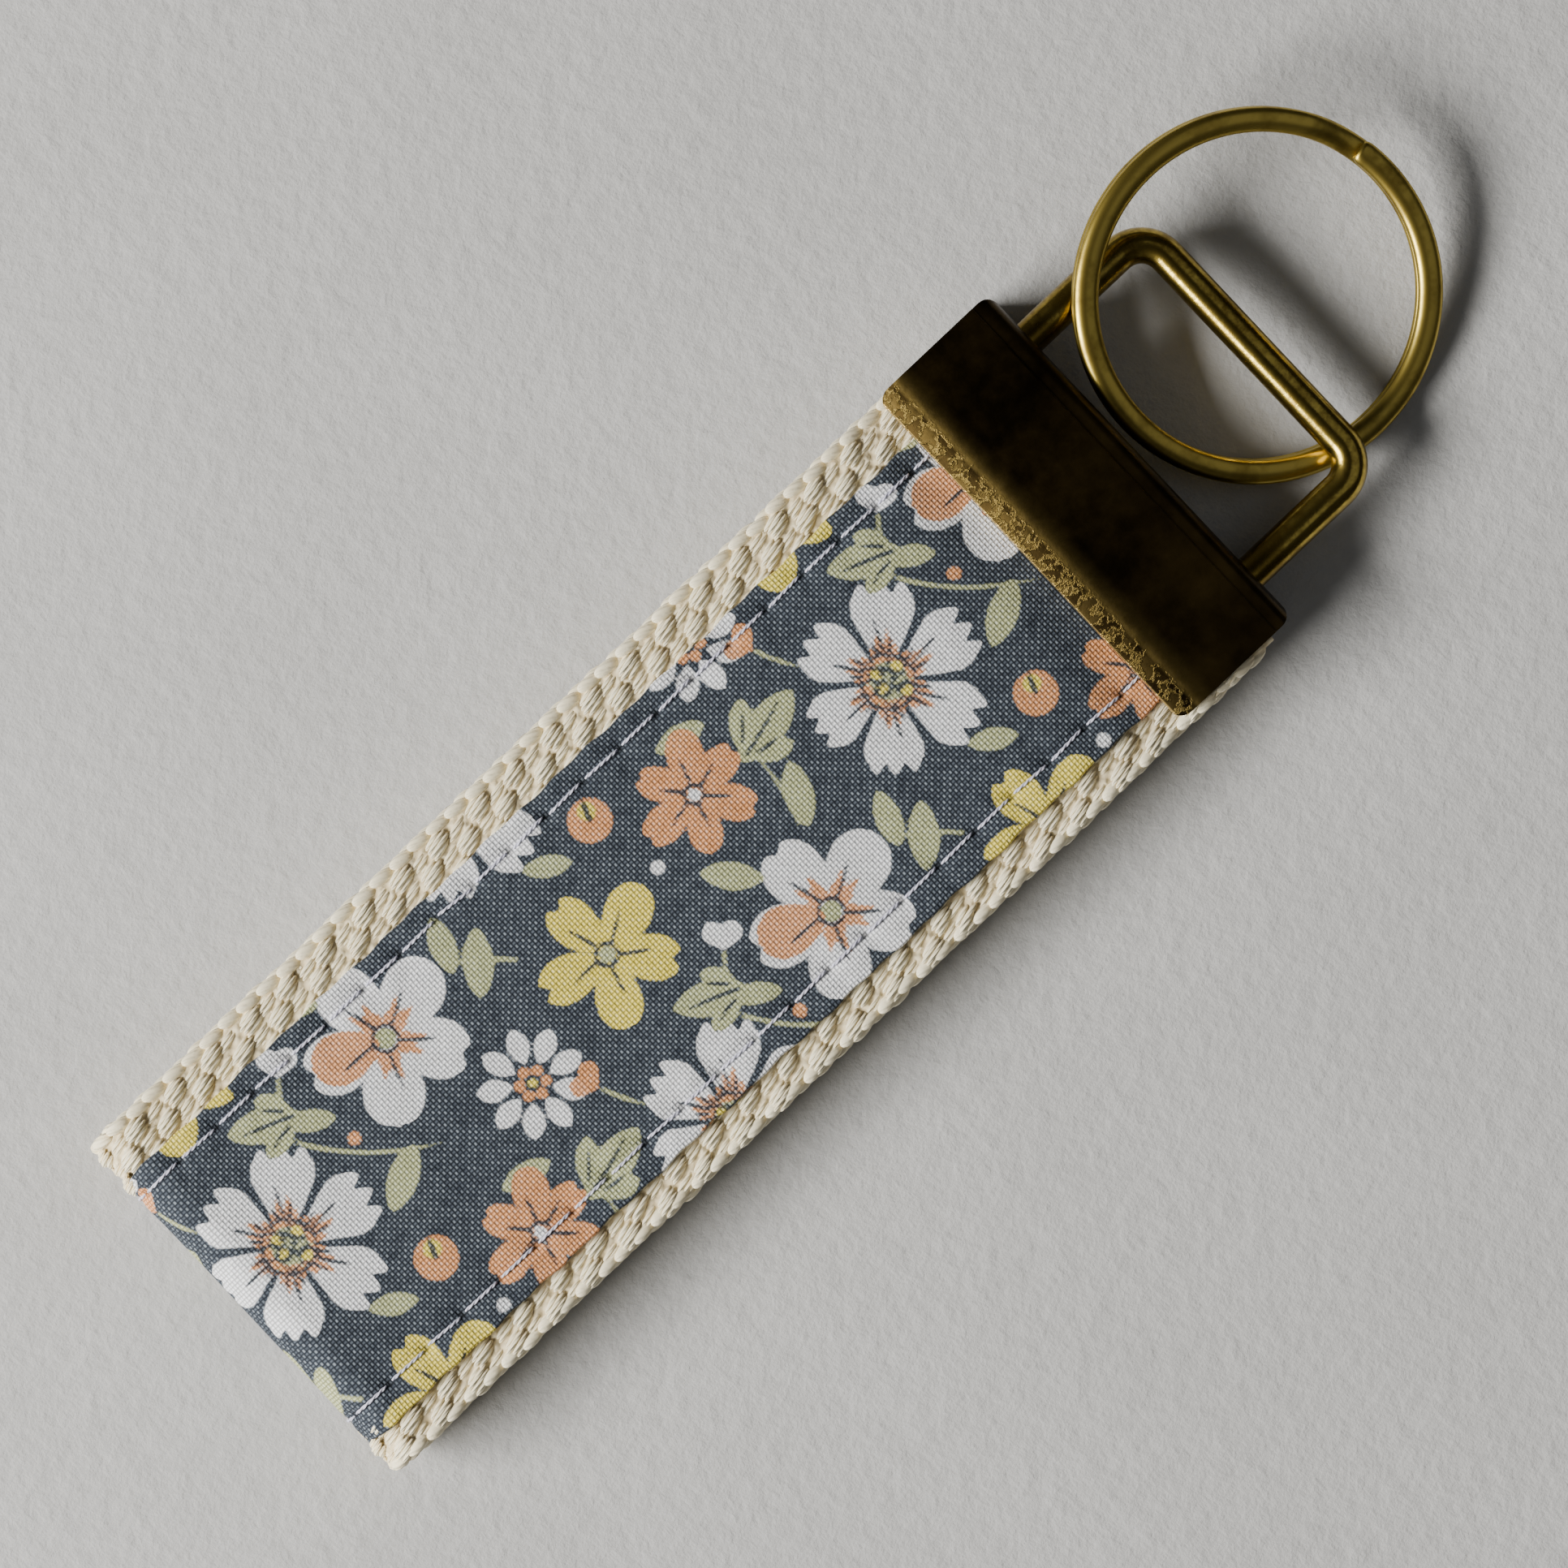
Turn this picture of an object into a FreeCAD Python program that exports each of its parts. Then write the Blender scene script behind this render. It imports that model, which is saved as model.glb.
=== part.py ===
import FreeCAD, Part
import math
import os

# A short key fob. A length of cotton webbing is folded in half, with a printed cotton strip
# topstitched along its outer face. Both raw ends are gripped in a stamped brass end clamp. A wire
# bail stands out of the clamp's spine, and a split key ring is threaded through the bail.
#
# Frame: +X runs from the folded end to the key ring, +Y across the strap, +Z up.
# The origin is below the middle of the fob, on the surface that it lies on. Millimetres.

Vec = FreeCAD.Vector

# --- strap -------------------------------------------------------------------------------------
webbing_width = 32.0        # 1 1/4 in webbing
strip_width = 25.4          # 1 in finished width, long edges turned under
strip_y = -0.45             # the strip is sewn a little off the webbing's centre
webbing_thickness = 2.0     # at the middle of the strap
strip_thickness = 0.45      # two layers of quilting cotton
layer_gap = 0.02            # air between the strip and the webbing
fold_x = -57.3              # outermost point of the folded end
fold_radius = 3.13          # outer radius of the strip around the fold
strap_end_x = 28.3          # raw ends, inside the clamp

# Stations along the strap: x, half the total thickness, half the gap between the two webbing layers.
fold_centre_x = fold_x + fold_radius
strap_stations = [
    (strap_end_x, 2.45, 0.06),
    (24.5, 2.55, 0.06),
    (21.6, 2.30, 0.05),
    (19.9, 1.92, 0.04),
    (18.3, 2.06, 0.05),
    (15.8, 2.50, 0.12),
    (12.0, 2.74, 0.18),
    (-10.0, 2.76, 0.19),
    (-36.0, 2.78, 0.20),
    (-46.0, 2.90, 0.32),
    (fold_centre_x, fold_radius, fold_radius - strip_thickness - layer_gap - webbing_thickness),
]

# --- topstitching ------------------------------------------------------------------------------
stitch_rows = {"left": 10.65, "right": -10.85}      # y of each row of stitches
stitch_pitch = 3.5
stitch_length = 2.9
thread_diameter = 0.32
stitch_lift = 0.2           # from the cloth's surface to the axis of a stitch
thread_clearance = 0.03     # between a thread and the cloth around it

# --- end clamp ---------------------------------------------------------------------------------
hardware_y = 0.45           # the clamp sits a little off the webbing's centre
clamp_width = 31.2
clamp_height = 7.0
clamp_mouth_x = 19.4
clamp_spine_x = 30.3
clamp_wall = 0.8
spine_radius = 1.4          # outside corner between jaw and spine
lip_length = 1.9            # the jaw edge that is bent inwards
lip_drop = 0.75
plan_radius = 1.0           # rounded corners seen from above
tooth_count = 13
tooth_width = 1.5
tooth_height = 0.6
tooth_thickness = 0.7
hole_clearance = 0.02
mid_z = clamp_height / 2

# --- bail --------------------------------------------------------------------------------------
bail_wire = 2.6
bail_leg_spacing = 22.9
bail_crossbar_x = 41.5
bail_bend_radius = 2.5      # on the wire's axis
foot_diameter = 3.6
foot_thickness = 0.7

# --- split ring --------------------------------------------------------------------------------
ring_outer_diameter = 26.8
ring_wire_width = 1.8       # across the ring, from inner to outer edge
ring_wire_height = 0.75     # along the ring's axis, one coil
coil_gap = 0.04
ring_x = 44.25
ring_y = 2.9
ring_z = 3.8
ring_tilt = 13.0            # degrees from level: the ring leans over one leg and under the crossbar
ring_rise_heading = 90.0    # direction in plan in which the tilted ring climbs
ring_end_angle = -77.0      # where the upper coil ends, counted from that heading
ring_end_gap = 1.0          # degrees between a coil's end and the step beside it
ring_step_angle = 20.0      # arc over which the wire steps from one coil to the other


def layer_side(heights, y, sign):
    """One side of a strap layer, from the raw end to the start of the fold, as a smooth curve."""
    points = [Vec(x, y, mid_z + sign * h) for x, h in heights]
    curve = Part.BSplineCurve()
    curve.interpolate(Points=points, InitialTangent=Vec(-1, 0, 0), FinalTangent=Vec(-1, 0, 0))
    return curve.toShape()


def layer_nose(radius, y):
    """The half circle around the folded end."""
    top = Vec(fold_centre_x, y, mid_z + radius)
    tip = Vec(fold_centre_x - radius, y, mid_z)
    bottom = Vec(fold_centre_x, y, mid_z - radius)
    return Part.Arc(top, tip, bottom).toShape()


def folded_layer(outer, inner, centre_y, width):
    """A strap layer that runs from the clamp, round the fold and back: outer and inner are heights."""
    y = centre_y - width / 2
    edges = []
    for heights in (outer, inner):
        edges.append(layer_side(heights, y, 1))
        edges.append(layer_nose(heights[-1][1], y))
        edges.append(layer_side(heights, y, -1))
    end_x = outer[0][0]
    for sign in (1, -1):
        a = Vec(end_x, y, mid_z + sign * outer[0][1])
        b = Vec(end_x, y, mid_z + sign * inner[0][1])
        edges.append(Part.makeLine(a, b))
    wire = Part.Wire(Part.__sortEdges__(edges))
    return Part.Face(wire).extrude(Vec(0, width, 0))


def strip_outer():
    return [(x, h) for x, h, gap in strap_stations]


def strip_inner():
    return [(x, h - strip_thickness) for x, h, gap in strap_stations]


def webbing_outer():
    return [(x, h - strip_thickness - layer_gap) for x, h, gap in strap_stations]


def webbing_inner():
    return [(x, gap) for x, h, gap in strap_stations]


def make_webbing():
    return folded_layer(webbing_outer(), webbing_inner(), 0.0, webbing_width)


def make_strip():
    return folded_layer(strip_outer(), strip_inner(), strip_y, strip_width)


def side_stitches(heights, y, sign, radius):
    """Straight stitches along one side of the strap, on the outside of the surface at these heights."""
    side = layer_side(heights, y, sign)
    count = round(side.Length / stitch_pitch)
    stitches = []
    for number in range(count):
        parameter = side.getParameterByLength(side.Length * (number + 0.5) / count)
        tangent = side.tangentAt(parameter)
        away = Vec(tangent.z, 0, -tangent.x) * sign
        centre = side.valueAt(parameter) + away * stitch_lift
        start = centre - tangent * (stitch_length / 2)
        stitches.append(Part.makeCylinder(radius, stitch_length, start, tangent))
    return stitches


def nose_stitches(height, y, radius):
    """Curved stitches around the folded end."""
    path_radius = height + stitch_lift
    count = max(1, round(math.pi * path_radius / stitch_pitch))
    share = 180 / count
    sweep = share * stitch_length / stitch_pitch
    centre = Vec(fold_centre_x, y, mid_z)
    circle = Part.makeCircle(radius, centre + Vec(0, 0, path_radius), Vec(1, 0, 0))
    disc = Part.Face(Part.Wire(circle))
    stitches = []
    for number in range(count):
        stitch = disc.revolve(centre, Vec(0, -1, 0), sweep)
        stitch.rotate(centre, Vec(0, -1, 0), share * (number + 0.5) - sweep / 2)
        stitches.append(stitch)
    return stitches


def thread_row(heights, y, radius):
    """A row of lock stitches on one face of the strap: one short bar of thread for each stitch."""
    stitches = nose_stitches(heights[-1][1], y, radius)
    for sign in (1, -1):
        stitches += side_stitches(heights, y, sign, radius)
    return Part.makeCompound(stitches)


def make_needle_thread(y, clamp):
    """Stitches on the printed face, trimmed where the cloth curves up to them."""
    raised = [(x, h + thread_clearance) for x, h in strip_outer()]
    cloth = folded_layer(raised, strip_inner(), strip_y, strip_width)
    return thread_row(strip_outer(), y, thread_diameter / 2).cut(cloth).cut(clamp)


def make_bobbin_thread(y):
    """Stitches on the webbing's inner face, pulled down into the soft yarns."""
    return thread_row(webbing_inner(), y, thread_diameter / 2)


def bobbin_grooves():
    """The space that the bobbin threads take in the webbing."""
    radius = thread_diameter / 2 + thread_clearance
    return Part.makeCompound([thread_row(webbing_inner(), y, radius) for y in stitch_rows.values()])


def jaw_section():
    """The clamp's U section in the XZ plane: two jaws with bent lips, joined by the spine."""
    slope = math.atan2(lip_drop, lip_length)
    outer = clamp_height / 2
    inner = outer - clamp_wall
    bend_x = clamp_mouth_x + lip_length
    lip_outer = (clamp_mouth_x, outer - lip_drop)
    lip_inner = (
        clamp_mouth_x + clamp_wall * math.sin(slope),
        outer - lip_drop - clamp_wall * math.cos(slope),
    )
    inner_bend = (bend_x + clamp_wall * math.tan(slope / 2), inner)
    upper = [lip_inner, lip_outer, (bend_x, outer), (clamp_spine_x, outer)]
    lower = [(x, -z) for x, z in reversed(upper)]
    inside_lower = [(inner_bend[0], -inner), (clamp_spine_x - clamp_wall, -inner)]
    inside_upper = [(clamp_spine_x - clamp_wall, inner), inner_bend]
    return upper + lower + inside_lower + inside_upper


def rounded(solid, radius, wanted):
    """The solid with every edge rounded that the test picks out."""
    edges = [e for e in solid.Edges if wanted(e)]
    return solid.makeFillet(radius, edges)


def is_spine_corner(edge):
    ends = [v.Point for v in edge.Vertexes]
    return len(ends) == 2 and all(abs(p.x - clamp_spine_x) < 1e-6 for p in ends) and abs(
        ends[0].y - ends[1].y
    ) > 1


def tooth(y, sign):
    """A triangular tooth on the inner edge of a lip, pointing to the middle of the mouth."""
    slope = math.atan2(lip_drop, lip_length)
    lip_z = clamp_height / 2 - lip_drop - clamp_wall * math.cos(slope)
    x = clamp_mouth_x + clamp_wall * math.sin(slope)
    root = lip_z + 0.2
    corners = [
        Vec(x, y - tooth_width / 2, mid_z + sign * root),
        Vec(x, y + tooth_width / 2, mid_z + sign * root),
        Vec(x, y, mid_z + sign * (lip_z - tooth_height)),
    ]
    face = Part.Face(Part.makePolygon(corners + corners[:1]))
    return face.extrude(Vec(tooth_thickness, 0, 0))


def rounded_plan():
    """A tall block with rounded corners that trims the clamp's outline seen from above."""
    length = clamp_spine_x - clamp_mouth_x
    corner = Vec(clamp_mouth_x, hardware_y - clamp_width / 2, -1)
    block = Part.makeBox(length, clamp_width, clamp_height + 2, corner)
    return rounded(block, plan_radius, lambda e: abs(e.tangentAt(e.FirstParameter).z) > 0.9)


def make_clamp():
    y = hardware_y - clamp_width / 2
    corners = [Vec(x, y, mid_z + z) for x, z in jaw_section()]
    shell = Part.Face(Part.makePolygon(corners + corners[:1])).extrude(Vec(0, clamp_width, 0))
    shell = rounded(shell, spine_radius, is_spine_corner)
    pitch = (clamp_width - 3.0) / (tooth_count - 1)
    for sign in (1, -1):
        for number in range(tooth_count):
            shell = shell.fuse(tooth(y + 1.5 + pitch * number, sign))
    shell = shell.common(rounded_plan())
    for side in (1, -1):
        leg_y = hardware_y + side * bail_leg_spacing / 2
        start = Vec(clamp_spine_x - 2, leg_y, mid_z)
        hole = Part.makeCylinder(bail_wire / 2 + hole_clearance, 3, start, Vec(1, 0, 0))
        shell = shell.cut(hole)
    return shell.removeSplitter()


def bail_leg(side):
    """One straight leg, from its peened foot inside the spine to the bend."""
    leg_y = hardware_y + side * bail_leg_spacing / 2
    inner_x = clamp_spine_x - clamp_wall
    bend_x = bail_crossbar_x - bail_bend_radius
    start = Vec(inner_x - foot_thickness, leg_y, mid_z)
    leg = Part.makeCylinder(bail_wire / 2, bend_x - start.x, start, Vec(1, 0, 0))
    foot = Part.makeCylinder(foot_diameter / 2, foot_thickness, start, Vec(1, 0, 0))
    return leg.fuse(foot)


def bail_bend(side):
    """The quarter turn between a leg and the crossbar."""
    leg_y = hardware_y + side * bail_leg_spacing / 2
    bend_x = bail_crossbar_x - bail_bend_radius
    circle = Part.makeCircle(bail_wire / 2, Vec(bend_x, leg_y, mid_z), Vec(1, 0, 0))
    disc = Part.Face(Part.Wire(circle))
    centre = Vec(bend_x, leg_y - side * bail_bend_radius, mid_z)
    return disc.revolve(centre, Vec(0, 0, -side), 90)


def make_bail():
    span = bail_leg_spacing - 2 * bail_bend_radius
    start = Vec(bail_crossbar_x, hardware_y - span / 2, mid_z)
    bail = Part.makeCylinder(bail_wire / 2, span, start, Vec(0, 1, 0))
    for side in (1, -1):
        bail = bail.fuse(bail_bend(side))
        bail = bail.fuse(bail_leg(side))
    return bail.removeSplitter()


def coil_section(angle, height):
    """The wire's section at an angle around the ring: a rectangle with eased corners."""
    ease = 0.12
    inner = ring_outer_diameter / 2 - ring_wire_width
    outer = ring_outer_diameter / 2
    low = height - ring_wire_height / 2
    high = height + ring_wire_height / 2
    outline = [
        (inner + ease, low), (outer - ease, low), (outer, low + ease), (outer, high - ease),
        (outer - ease, high), (inner + ease, high), (inner, high - ease), (inner, low + ease),
    ]
    turn = math.radians(angle)
    points = [Vec(r * math.cos(turn), r * math.sin(turn), z) for r, z in outline]
    return Part.makePolygon(points + points[:1])


def coil(start, sweep, height):
    """Part of one flat turn of the ring."""
    return Part.Face(coil_section(start, height)).revolve(Vec(), Vec(0, 0, 1), sweep)


def ring_step(start, high, low):
    """The short stretch where the wire steps from the upper coil down to the lower one."""
    count = 6
    sections = []
    for number in range(count + 1):
        part = number / count
        ease = (1 - math.cos(math.pi * part)) / 2
        sections.append(coil_section(start + ring_step_angle * (1 - part), high + (low - high) * ease))
    return Part.makeLoft(sections, True, True)


def ring_placement():
    """The ring's plane climbs by ring_tilt in the direction ring_rise_heading."""
    heading = FreeCAD.Rotation(Vec(0, 0, 1), ring_rise_heading)
    tilt = FreeCAD.Rotation(Vec(0, 1, 0), -ring_tilt)
    return FreeCAD.Placement(Vec(ring_x, ring_y, ring_z), heading.multiply(tilt))


def make_split_ring():
    """Two flat turns of one wire. The step between them sits between the two ends."""
    height = (ring_wire_height + coil_gap) / 2
    sweep = 360 - ring_step_angle - ring_end_gap
    step_bottom = ring_end_angle + ring_end_gap
    step_top = step_bottom + ring_step_angle
    upper = coil(step_top, sweep, height)
    lower = coil(step_top + ring_end_gap, sweep, -height)
    ring = upper.fuse(ring_step(step_bottom, height, -height)).fuse(lower)
    ring.Placement = ring_placement()
    return ring


def make_parts():
    clamp = make_clamp()
    bail = make_bail()
    parts = {
        "end_clamp": clamp,
        "wire_bail": bail,
        "split_ring": make_split_ring(),
        "webbing_strap": make_webbing().cut(clamp).cut(bobbin_grooves()),
        "printed_strip": make_strip().cut(clamp),
    }
    for side, y in stitch_rows.items():
        parts["needle_thread_" + side] = make_needle_thread(y, clamp)
        parts["bobbin_thread_" + side] = make_bobbin_thread(y)
    return parts


def main():
    os.makedirs("parts", exist_ok=True)
    for name, shape in make_parts().items():
        shape.exportStep("parts/" + name + ".step")
        box = shape.BoundBox
        print(name, "valid", shape.isValid(), "solids", len(shape.Solids), "volume", round(shape.Volume, 1),
              [round(v, 2) for v in (box.XMin, box.XMax, box.YMin, box.YMax, box.ZMin, box.ZMax)])


main()
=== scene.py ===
# %% [markdown]
# # A short key fob
# A cotton webbing strap folded in half, a printed cotton strip stitched along it, a stamped brass
# clamp over the raw ends, a wire bail and a split ring. The CAD model is loaded first, because it
# says where each piece is. Then each piece is built again in finer detail, in the order in which a
# workshop would put the fob together.

# %% Load the frame
import math
import bmesh
import bpy
import numpy as np
from mathutils import Matrix, Vector


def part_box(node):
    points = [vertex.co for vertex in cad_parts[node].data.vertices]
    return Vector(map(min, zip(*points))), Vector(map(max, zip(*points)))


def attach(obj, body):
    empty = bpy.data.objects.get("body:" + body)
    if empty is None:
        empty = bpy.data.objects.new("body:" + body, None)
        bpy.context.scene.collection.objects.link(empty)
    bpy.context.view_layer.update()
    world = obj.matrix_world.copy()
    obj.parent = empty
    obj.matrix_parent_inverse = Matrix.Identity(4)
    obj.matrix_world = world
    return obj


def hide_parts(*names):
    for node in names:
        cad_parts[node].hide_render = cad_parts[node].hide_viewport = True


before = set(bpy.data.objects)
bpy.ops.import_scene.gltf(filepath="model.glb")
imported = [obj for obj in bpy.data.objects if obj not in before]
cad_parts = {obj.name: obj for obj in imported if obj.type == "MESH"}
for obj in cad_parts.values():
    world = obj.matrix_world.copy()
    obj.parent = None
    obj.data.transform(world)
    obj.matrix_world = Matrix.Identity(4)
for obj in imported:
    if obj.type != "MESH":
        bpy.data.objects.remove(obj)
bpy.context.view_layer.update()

# %% [markdown]
# Blender measures in metres, but cloth is easier to think about in millimetres. So every size below
# is in millimetres, and `new_object` scales the points once, when it makes the mesh. Almost every
# piece here is a long thing: a strip, a yarn or a wire is a row of ribs, and `grid_faces` joins each
# rib to the next. `bmesh` could do the same face by face, but whole arrays are much quicker with
# this many yarns.

# %% Mesh helpers
MM = 0.001
STRAP = "strap_and_clamp"
RING = "key_ring"
FULL_TURN = 2 * math.pi
rng = np.random.default_rng(7)


def node_box(name):
    """The low and the high corner of a CAD node, in millimetres."""
    return [np.array(corner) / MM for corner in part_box(name)]


def new_object(name, points, faces):
    """An object from points in millimetres and lists of point numbers."""
    mesh = bpy.data.meshes.new(name)
    mesh.from_pydata((np.asarray(points, float) * MM).tolist(), [], faces)
    obj = bpy.data.objects.new(name, mesh)
    bpy.context.scene.collection.objects.link(obj)
    return obj


def new_mesh(name, points, faces, body, smooth=True):
    """An object made of quads, riding on a body of the CAD model."""
    obj = new_object(name, points, np.asarray(faces).tolist())
    obj.data.polygons.foreach_set("use_smooth", [smooth] * len(faces))
    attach(obj, body)
    return obj


def face_outwards(obj):
    """Turns every face of a closed mesh outwards."""
    shape = bmesh.new()
    shape.from_mesh(obj.data)
    bmesh.ops.recalc_face_normals(shape, faces=shape.faces)
    shape.to_mesh(obj.data)
    shape.free()


def grid_faces(count, rows, cols, wrap_rows=False, wrap_cols=False):
    """Quads for count separate grids of rows x cols points, as one array of point numbers."""
    i = np.arange(rows if wrap_rows else rows - 1)
    j = np.arange(cols if wrap_cols else cols - 1)
    i, j = np.meshgrid(i, j, indexing="ij")
    a = i * cols + j
    b = ((i + 1) % rows) * cols + j
    c = ((i + 1) % rows) * cols + (j + 1) % cols
    d = i * cols + (j + 1) % cols
    quads = np.stack([a, b, c, d], axis=-1).reshape(-1, 4)
    offsets = np.arange(count)[:, None, None] * rows * cols
    return (quads[None] + offsets).reshape(-1, 4)


def tube_faces(rows, cols):
    """Quads round a tube of rows x cols points, and one face over each end."""
    ends = [list(range(cols))[::-1], [(rows - 1) * cols + k for k in range(cols)]]
    return grid_faces(1, rows, cols, wrap_cols=True).tolist() + ends


def smooth_sides(obj):
    """Smooths the quads of a tube and leaves its two end faces flat."""
    obj.data.polygons.foreach_set("use_smooth", [len(face.vertices) == 4 for face in obj.data.polygons])


def around_once(count):
    """Evenly spaced angles, once round a circle."""
    return np.arange(count) / count * FULL_TURN


def add_uv(obj, name, per_point):
    """A UV map that holds two numbers for each point, for the materials to read."""
    layer = obj.data.uv_layers.new(name=name)
    corners = np.empty(len(obj.data.loops), dtype=np.int32)
    obj.data.loops.foreach_get("vertex_index", corners)
    layer.data.foreach_set("uv", np.asarray(per_point, np.float32)[corners].ravel())


def add_value(obj, name, per_point):
    """A named number for each point, which a material reads through an Attribute node."""
    layer = obj.data.attributes.new(name, "FLOAT", "POINT")
    layer.data.foreach_set("value", np.asarray(per_point, np.float32))


# %% [markdown]
# ## Materials as sums
# A shader is arithmetic on surfaces, so it reads best as arithmetic. `Socket` wraps the output of
# a node. `a * 2 + b` then adds the Math nodes by itself, and `1 - mask` works too, because the class
# also has the reflected operators. Nodes that aren't arithmetic come from one method, `node`.

# %% Shader helper
class Socket:
    """An output of a shader node that can be added, multiplied and so on."""

    def __init__(self, tree, output):
        self.tree = tree
        self.output = output

    def node(self, kind, settings=None, inputs=None, output=0):
        """One output of a new node. Its settings are set before its inputs are filled or linked."""
        new = self.tree.nodes.new(kind)
        for name, value in (settings or {}).items():
            setattr(new, name, value)
        for name, value in (inputs or {}).items():
            if isinstance(value, Socket):
                self.tree.links.new(value.output, new.inputs[name])
            else:
                new.inputs[name].default_value = value
        return Socket(self.tree, new.outputs[output])

    def math(self, operation, *values):
        return self.node("ShaderNodeMath", {"operation": operation}, dict(enumerate(values)))

    def __add__(self, other):
        return self.math("ADD", self, other)

    def __radd__(self, other):
        return self.math("ADD", other, self)

    def __sub__(self, other):
        return self.math("SUBTRACT", self, other)

    def __rsub__(self, other):
        return self.math("SUBTRACT", other, self)

    def __mul__(self, other):
        return self.math("MULTIPLY", self, other)

    def __rmul__(self, other):
        return self.math("MULTIPLY", other, self)

    def __truediv__(self, other):
        return self.math("DIVIDE", self, other)

    def __rtruediv__(self, other):
        return self.math("DIVIDE", other, self)

    def __pow__(self, other):
        return self.math("POWER", self, other)

    def sin(self):
        return self.math("SINE", self)

    def abs(self):
        return self.math("ABSOLUTE", self)

    def clamp(self):
        return self.node("ShaderNodeClamp", {}, {0: self})

    def above(self, edge, softness):
        """0 below the edge, 1 above it, with a soft change that is this wide."""
        return ((self - edge) / softness + 0.5).clamp()

    def mix(self, low, high):
        """The colour low where this is 0 and high where it is 1."""
        low, high = [(*c, 1.0) if isinstance(c, tuple) else c for c in (low, high)]
        return self.node("ShaderNodeMix", {"data_type": "RGBA"}, {0: self, 6: low, 7: high}, 2)

    def part(self, number):
        """One of the three numbers of this vector."""
        return self.node("ShaderNodeSeparateXYZ", {}, {0: self}, number)

    def scaled(self, factor):
        """This colour or vector times a number."""
        return self.node("ShaderNodeVectorMath", {"operation": "SCALE"}, {0: self, "Scale": factor})


def new_material(name, **constants):
    """A material with its Principled node, which constants are set on, and a Socket to start from."""
    material = bpy.data.materials.new(name)
    material.use_nodes = True
    tree = material.node_tree
    shader = tree.nodes["Principled BSDF"]
    for key, value in constants.items():
        shader.inputs[key.replace("_", " ")].default_value = value
    return material, shader, Socket(tree, None)


def plug(shader, start, **links):
    """Joins sockets to the Principled node: Base_Color=..., Roughness=..., Normal=..."""
    for key, value in links.items():
        start.tree.links.new(value.output, shader.inputs[key.replace("_", " ")])


def bump(start, height, distance):
    """A normal from a height. The distance is in millimetres."""
    return start.node("ShaderNodeBump", {}, {"Height": height, "Distance": distance * MM})


def uv_pair(start, name):
    """The two numbers of a UV map, as separate sockets."""
    pair = start.node("ShaderNodeUVMap", {"uv_map": name})
    return pair.part(0), pair.part(1)


def attribute(start, name):
    """A number that the mesh stores for each point."""
    return start.node("ShaderNodeAttribute", {"attribute_name": name}, {}, "Fac")


def place(start):
    """The position on the object in metres, as it was modelled."""
    return start.node("ShaderNodeTexCoord", {}, {}, "Object")


def noise(start, vector, scale, detail, roughness=0.5):
    """Smooth random numbers around 0.5, with about this many blotches in a metre."""
    inputs = {"Vector": vector, "Scale": scale, "Detail": detail, "Roughness": roughness}
    return start.node("ShaderNodeTexNoise", {}, inputs)


# %% [markdown]
# ## The path of the strap
# The webbing leaves the clamp, runs to the folded end, turns round and comes back. Everything on the
# strap follows this one path: the webbing, the strip, its stitches and every yarn. So the path is
# measured once, as a line in the XZ plane. `wrap` then puts any point on it from three numbers: how
# far along the strap, where across it, and how far it is lifted off the webbing's face. Bending
# a finished flat strip with a Curve modifier would work too, but it squashes the inside of the fold.

# %% Measure the path
strip_low, strip_high = node_box("printed_strip")
web_low, web_high = node_box("webbing_strap")
clamp_low, clamp_high = node_box("end_clamp")
print("strip", strip_low, strip_high)

strip_thickness = 0.45
web_thickness = 2.0
mid_z = (clamp_low[2] + clamp_high[2]) / 2
strap_end = strip_high[0]
nose_radius = (strip_high[2] - strip_low[2]) / 2 - strip_thickness
nose_x = strip_low[0] + nose_radius + strip_thickness
mouth_x = clamp_low[0]
path_step = 0.1
blend_points = 11       # how many steps each station is blended over, both ways

# Half the thickness of the folded webbing, from its raw ends in the clamp to the fold.
half_stations = [
    (strap_end, 1.98), (mouth_x + 5.1, 2.05), (mouth_x + 2.2, 1.80), (mouth_x + 0.5, 1.42),
    (mouth_x - 1.1, 1.60), (mouth_x - 3.6, 2.02), (mouth_x - 7.5, 2.24), (-10.0, 2.28),
    (-36.0, 2.30), (-46.0, 2.43), (nose_x, nose_radius),
]


def build_path():
    """Points of the strap's path in the XZ plane, and how far along it each of them is."""
    x = np.arange(strap_end, nose_x, -path_step)
    at, half = np.array(half_stations[::-1]).T
    height = np.interp(x, at, half)
    window = np.hanning(2 * blend_points + 1)
    kernel = window / window.sum()
    height = np.convolve(np.pad(height, blend_points, mode="edge"), kernel, mode="valid")
    turn = np.linspace(0, math.pi, 90)
    nose = np.stack([nose_x - nose_radius * np.sin(turn), nose_radius * np.cos(turn)], axis=1)
    upper = np.stack([x, height], axis=1)
    lower = np.stack([x[::-1], -height[::-1]], axis=1)
    line = np.concatenate([upper, nose, lower])
    steps = np.hypot(*np.diff(line, axis=0).T)
    along = np.concatenate([[0], np.cumsum(steps)])
    keep = np.concatenate([[True], steps > 1e-6])
    return along[keep], line[keep]


path_s, path_xz = build_path()
path_length = path_s[-1]
path_tangent = np.gradient(path_xz, path_s, axis=0)
path_tangent /= np.linalg.norm(path_tangent, axis=1)[:, None]


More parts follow.
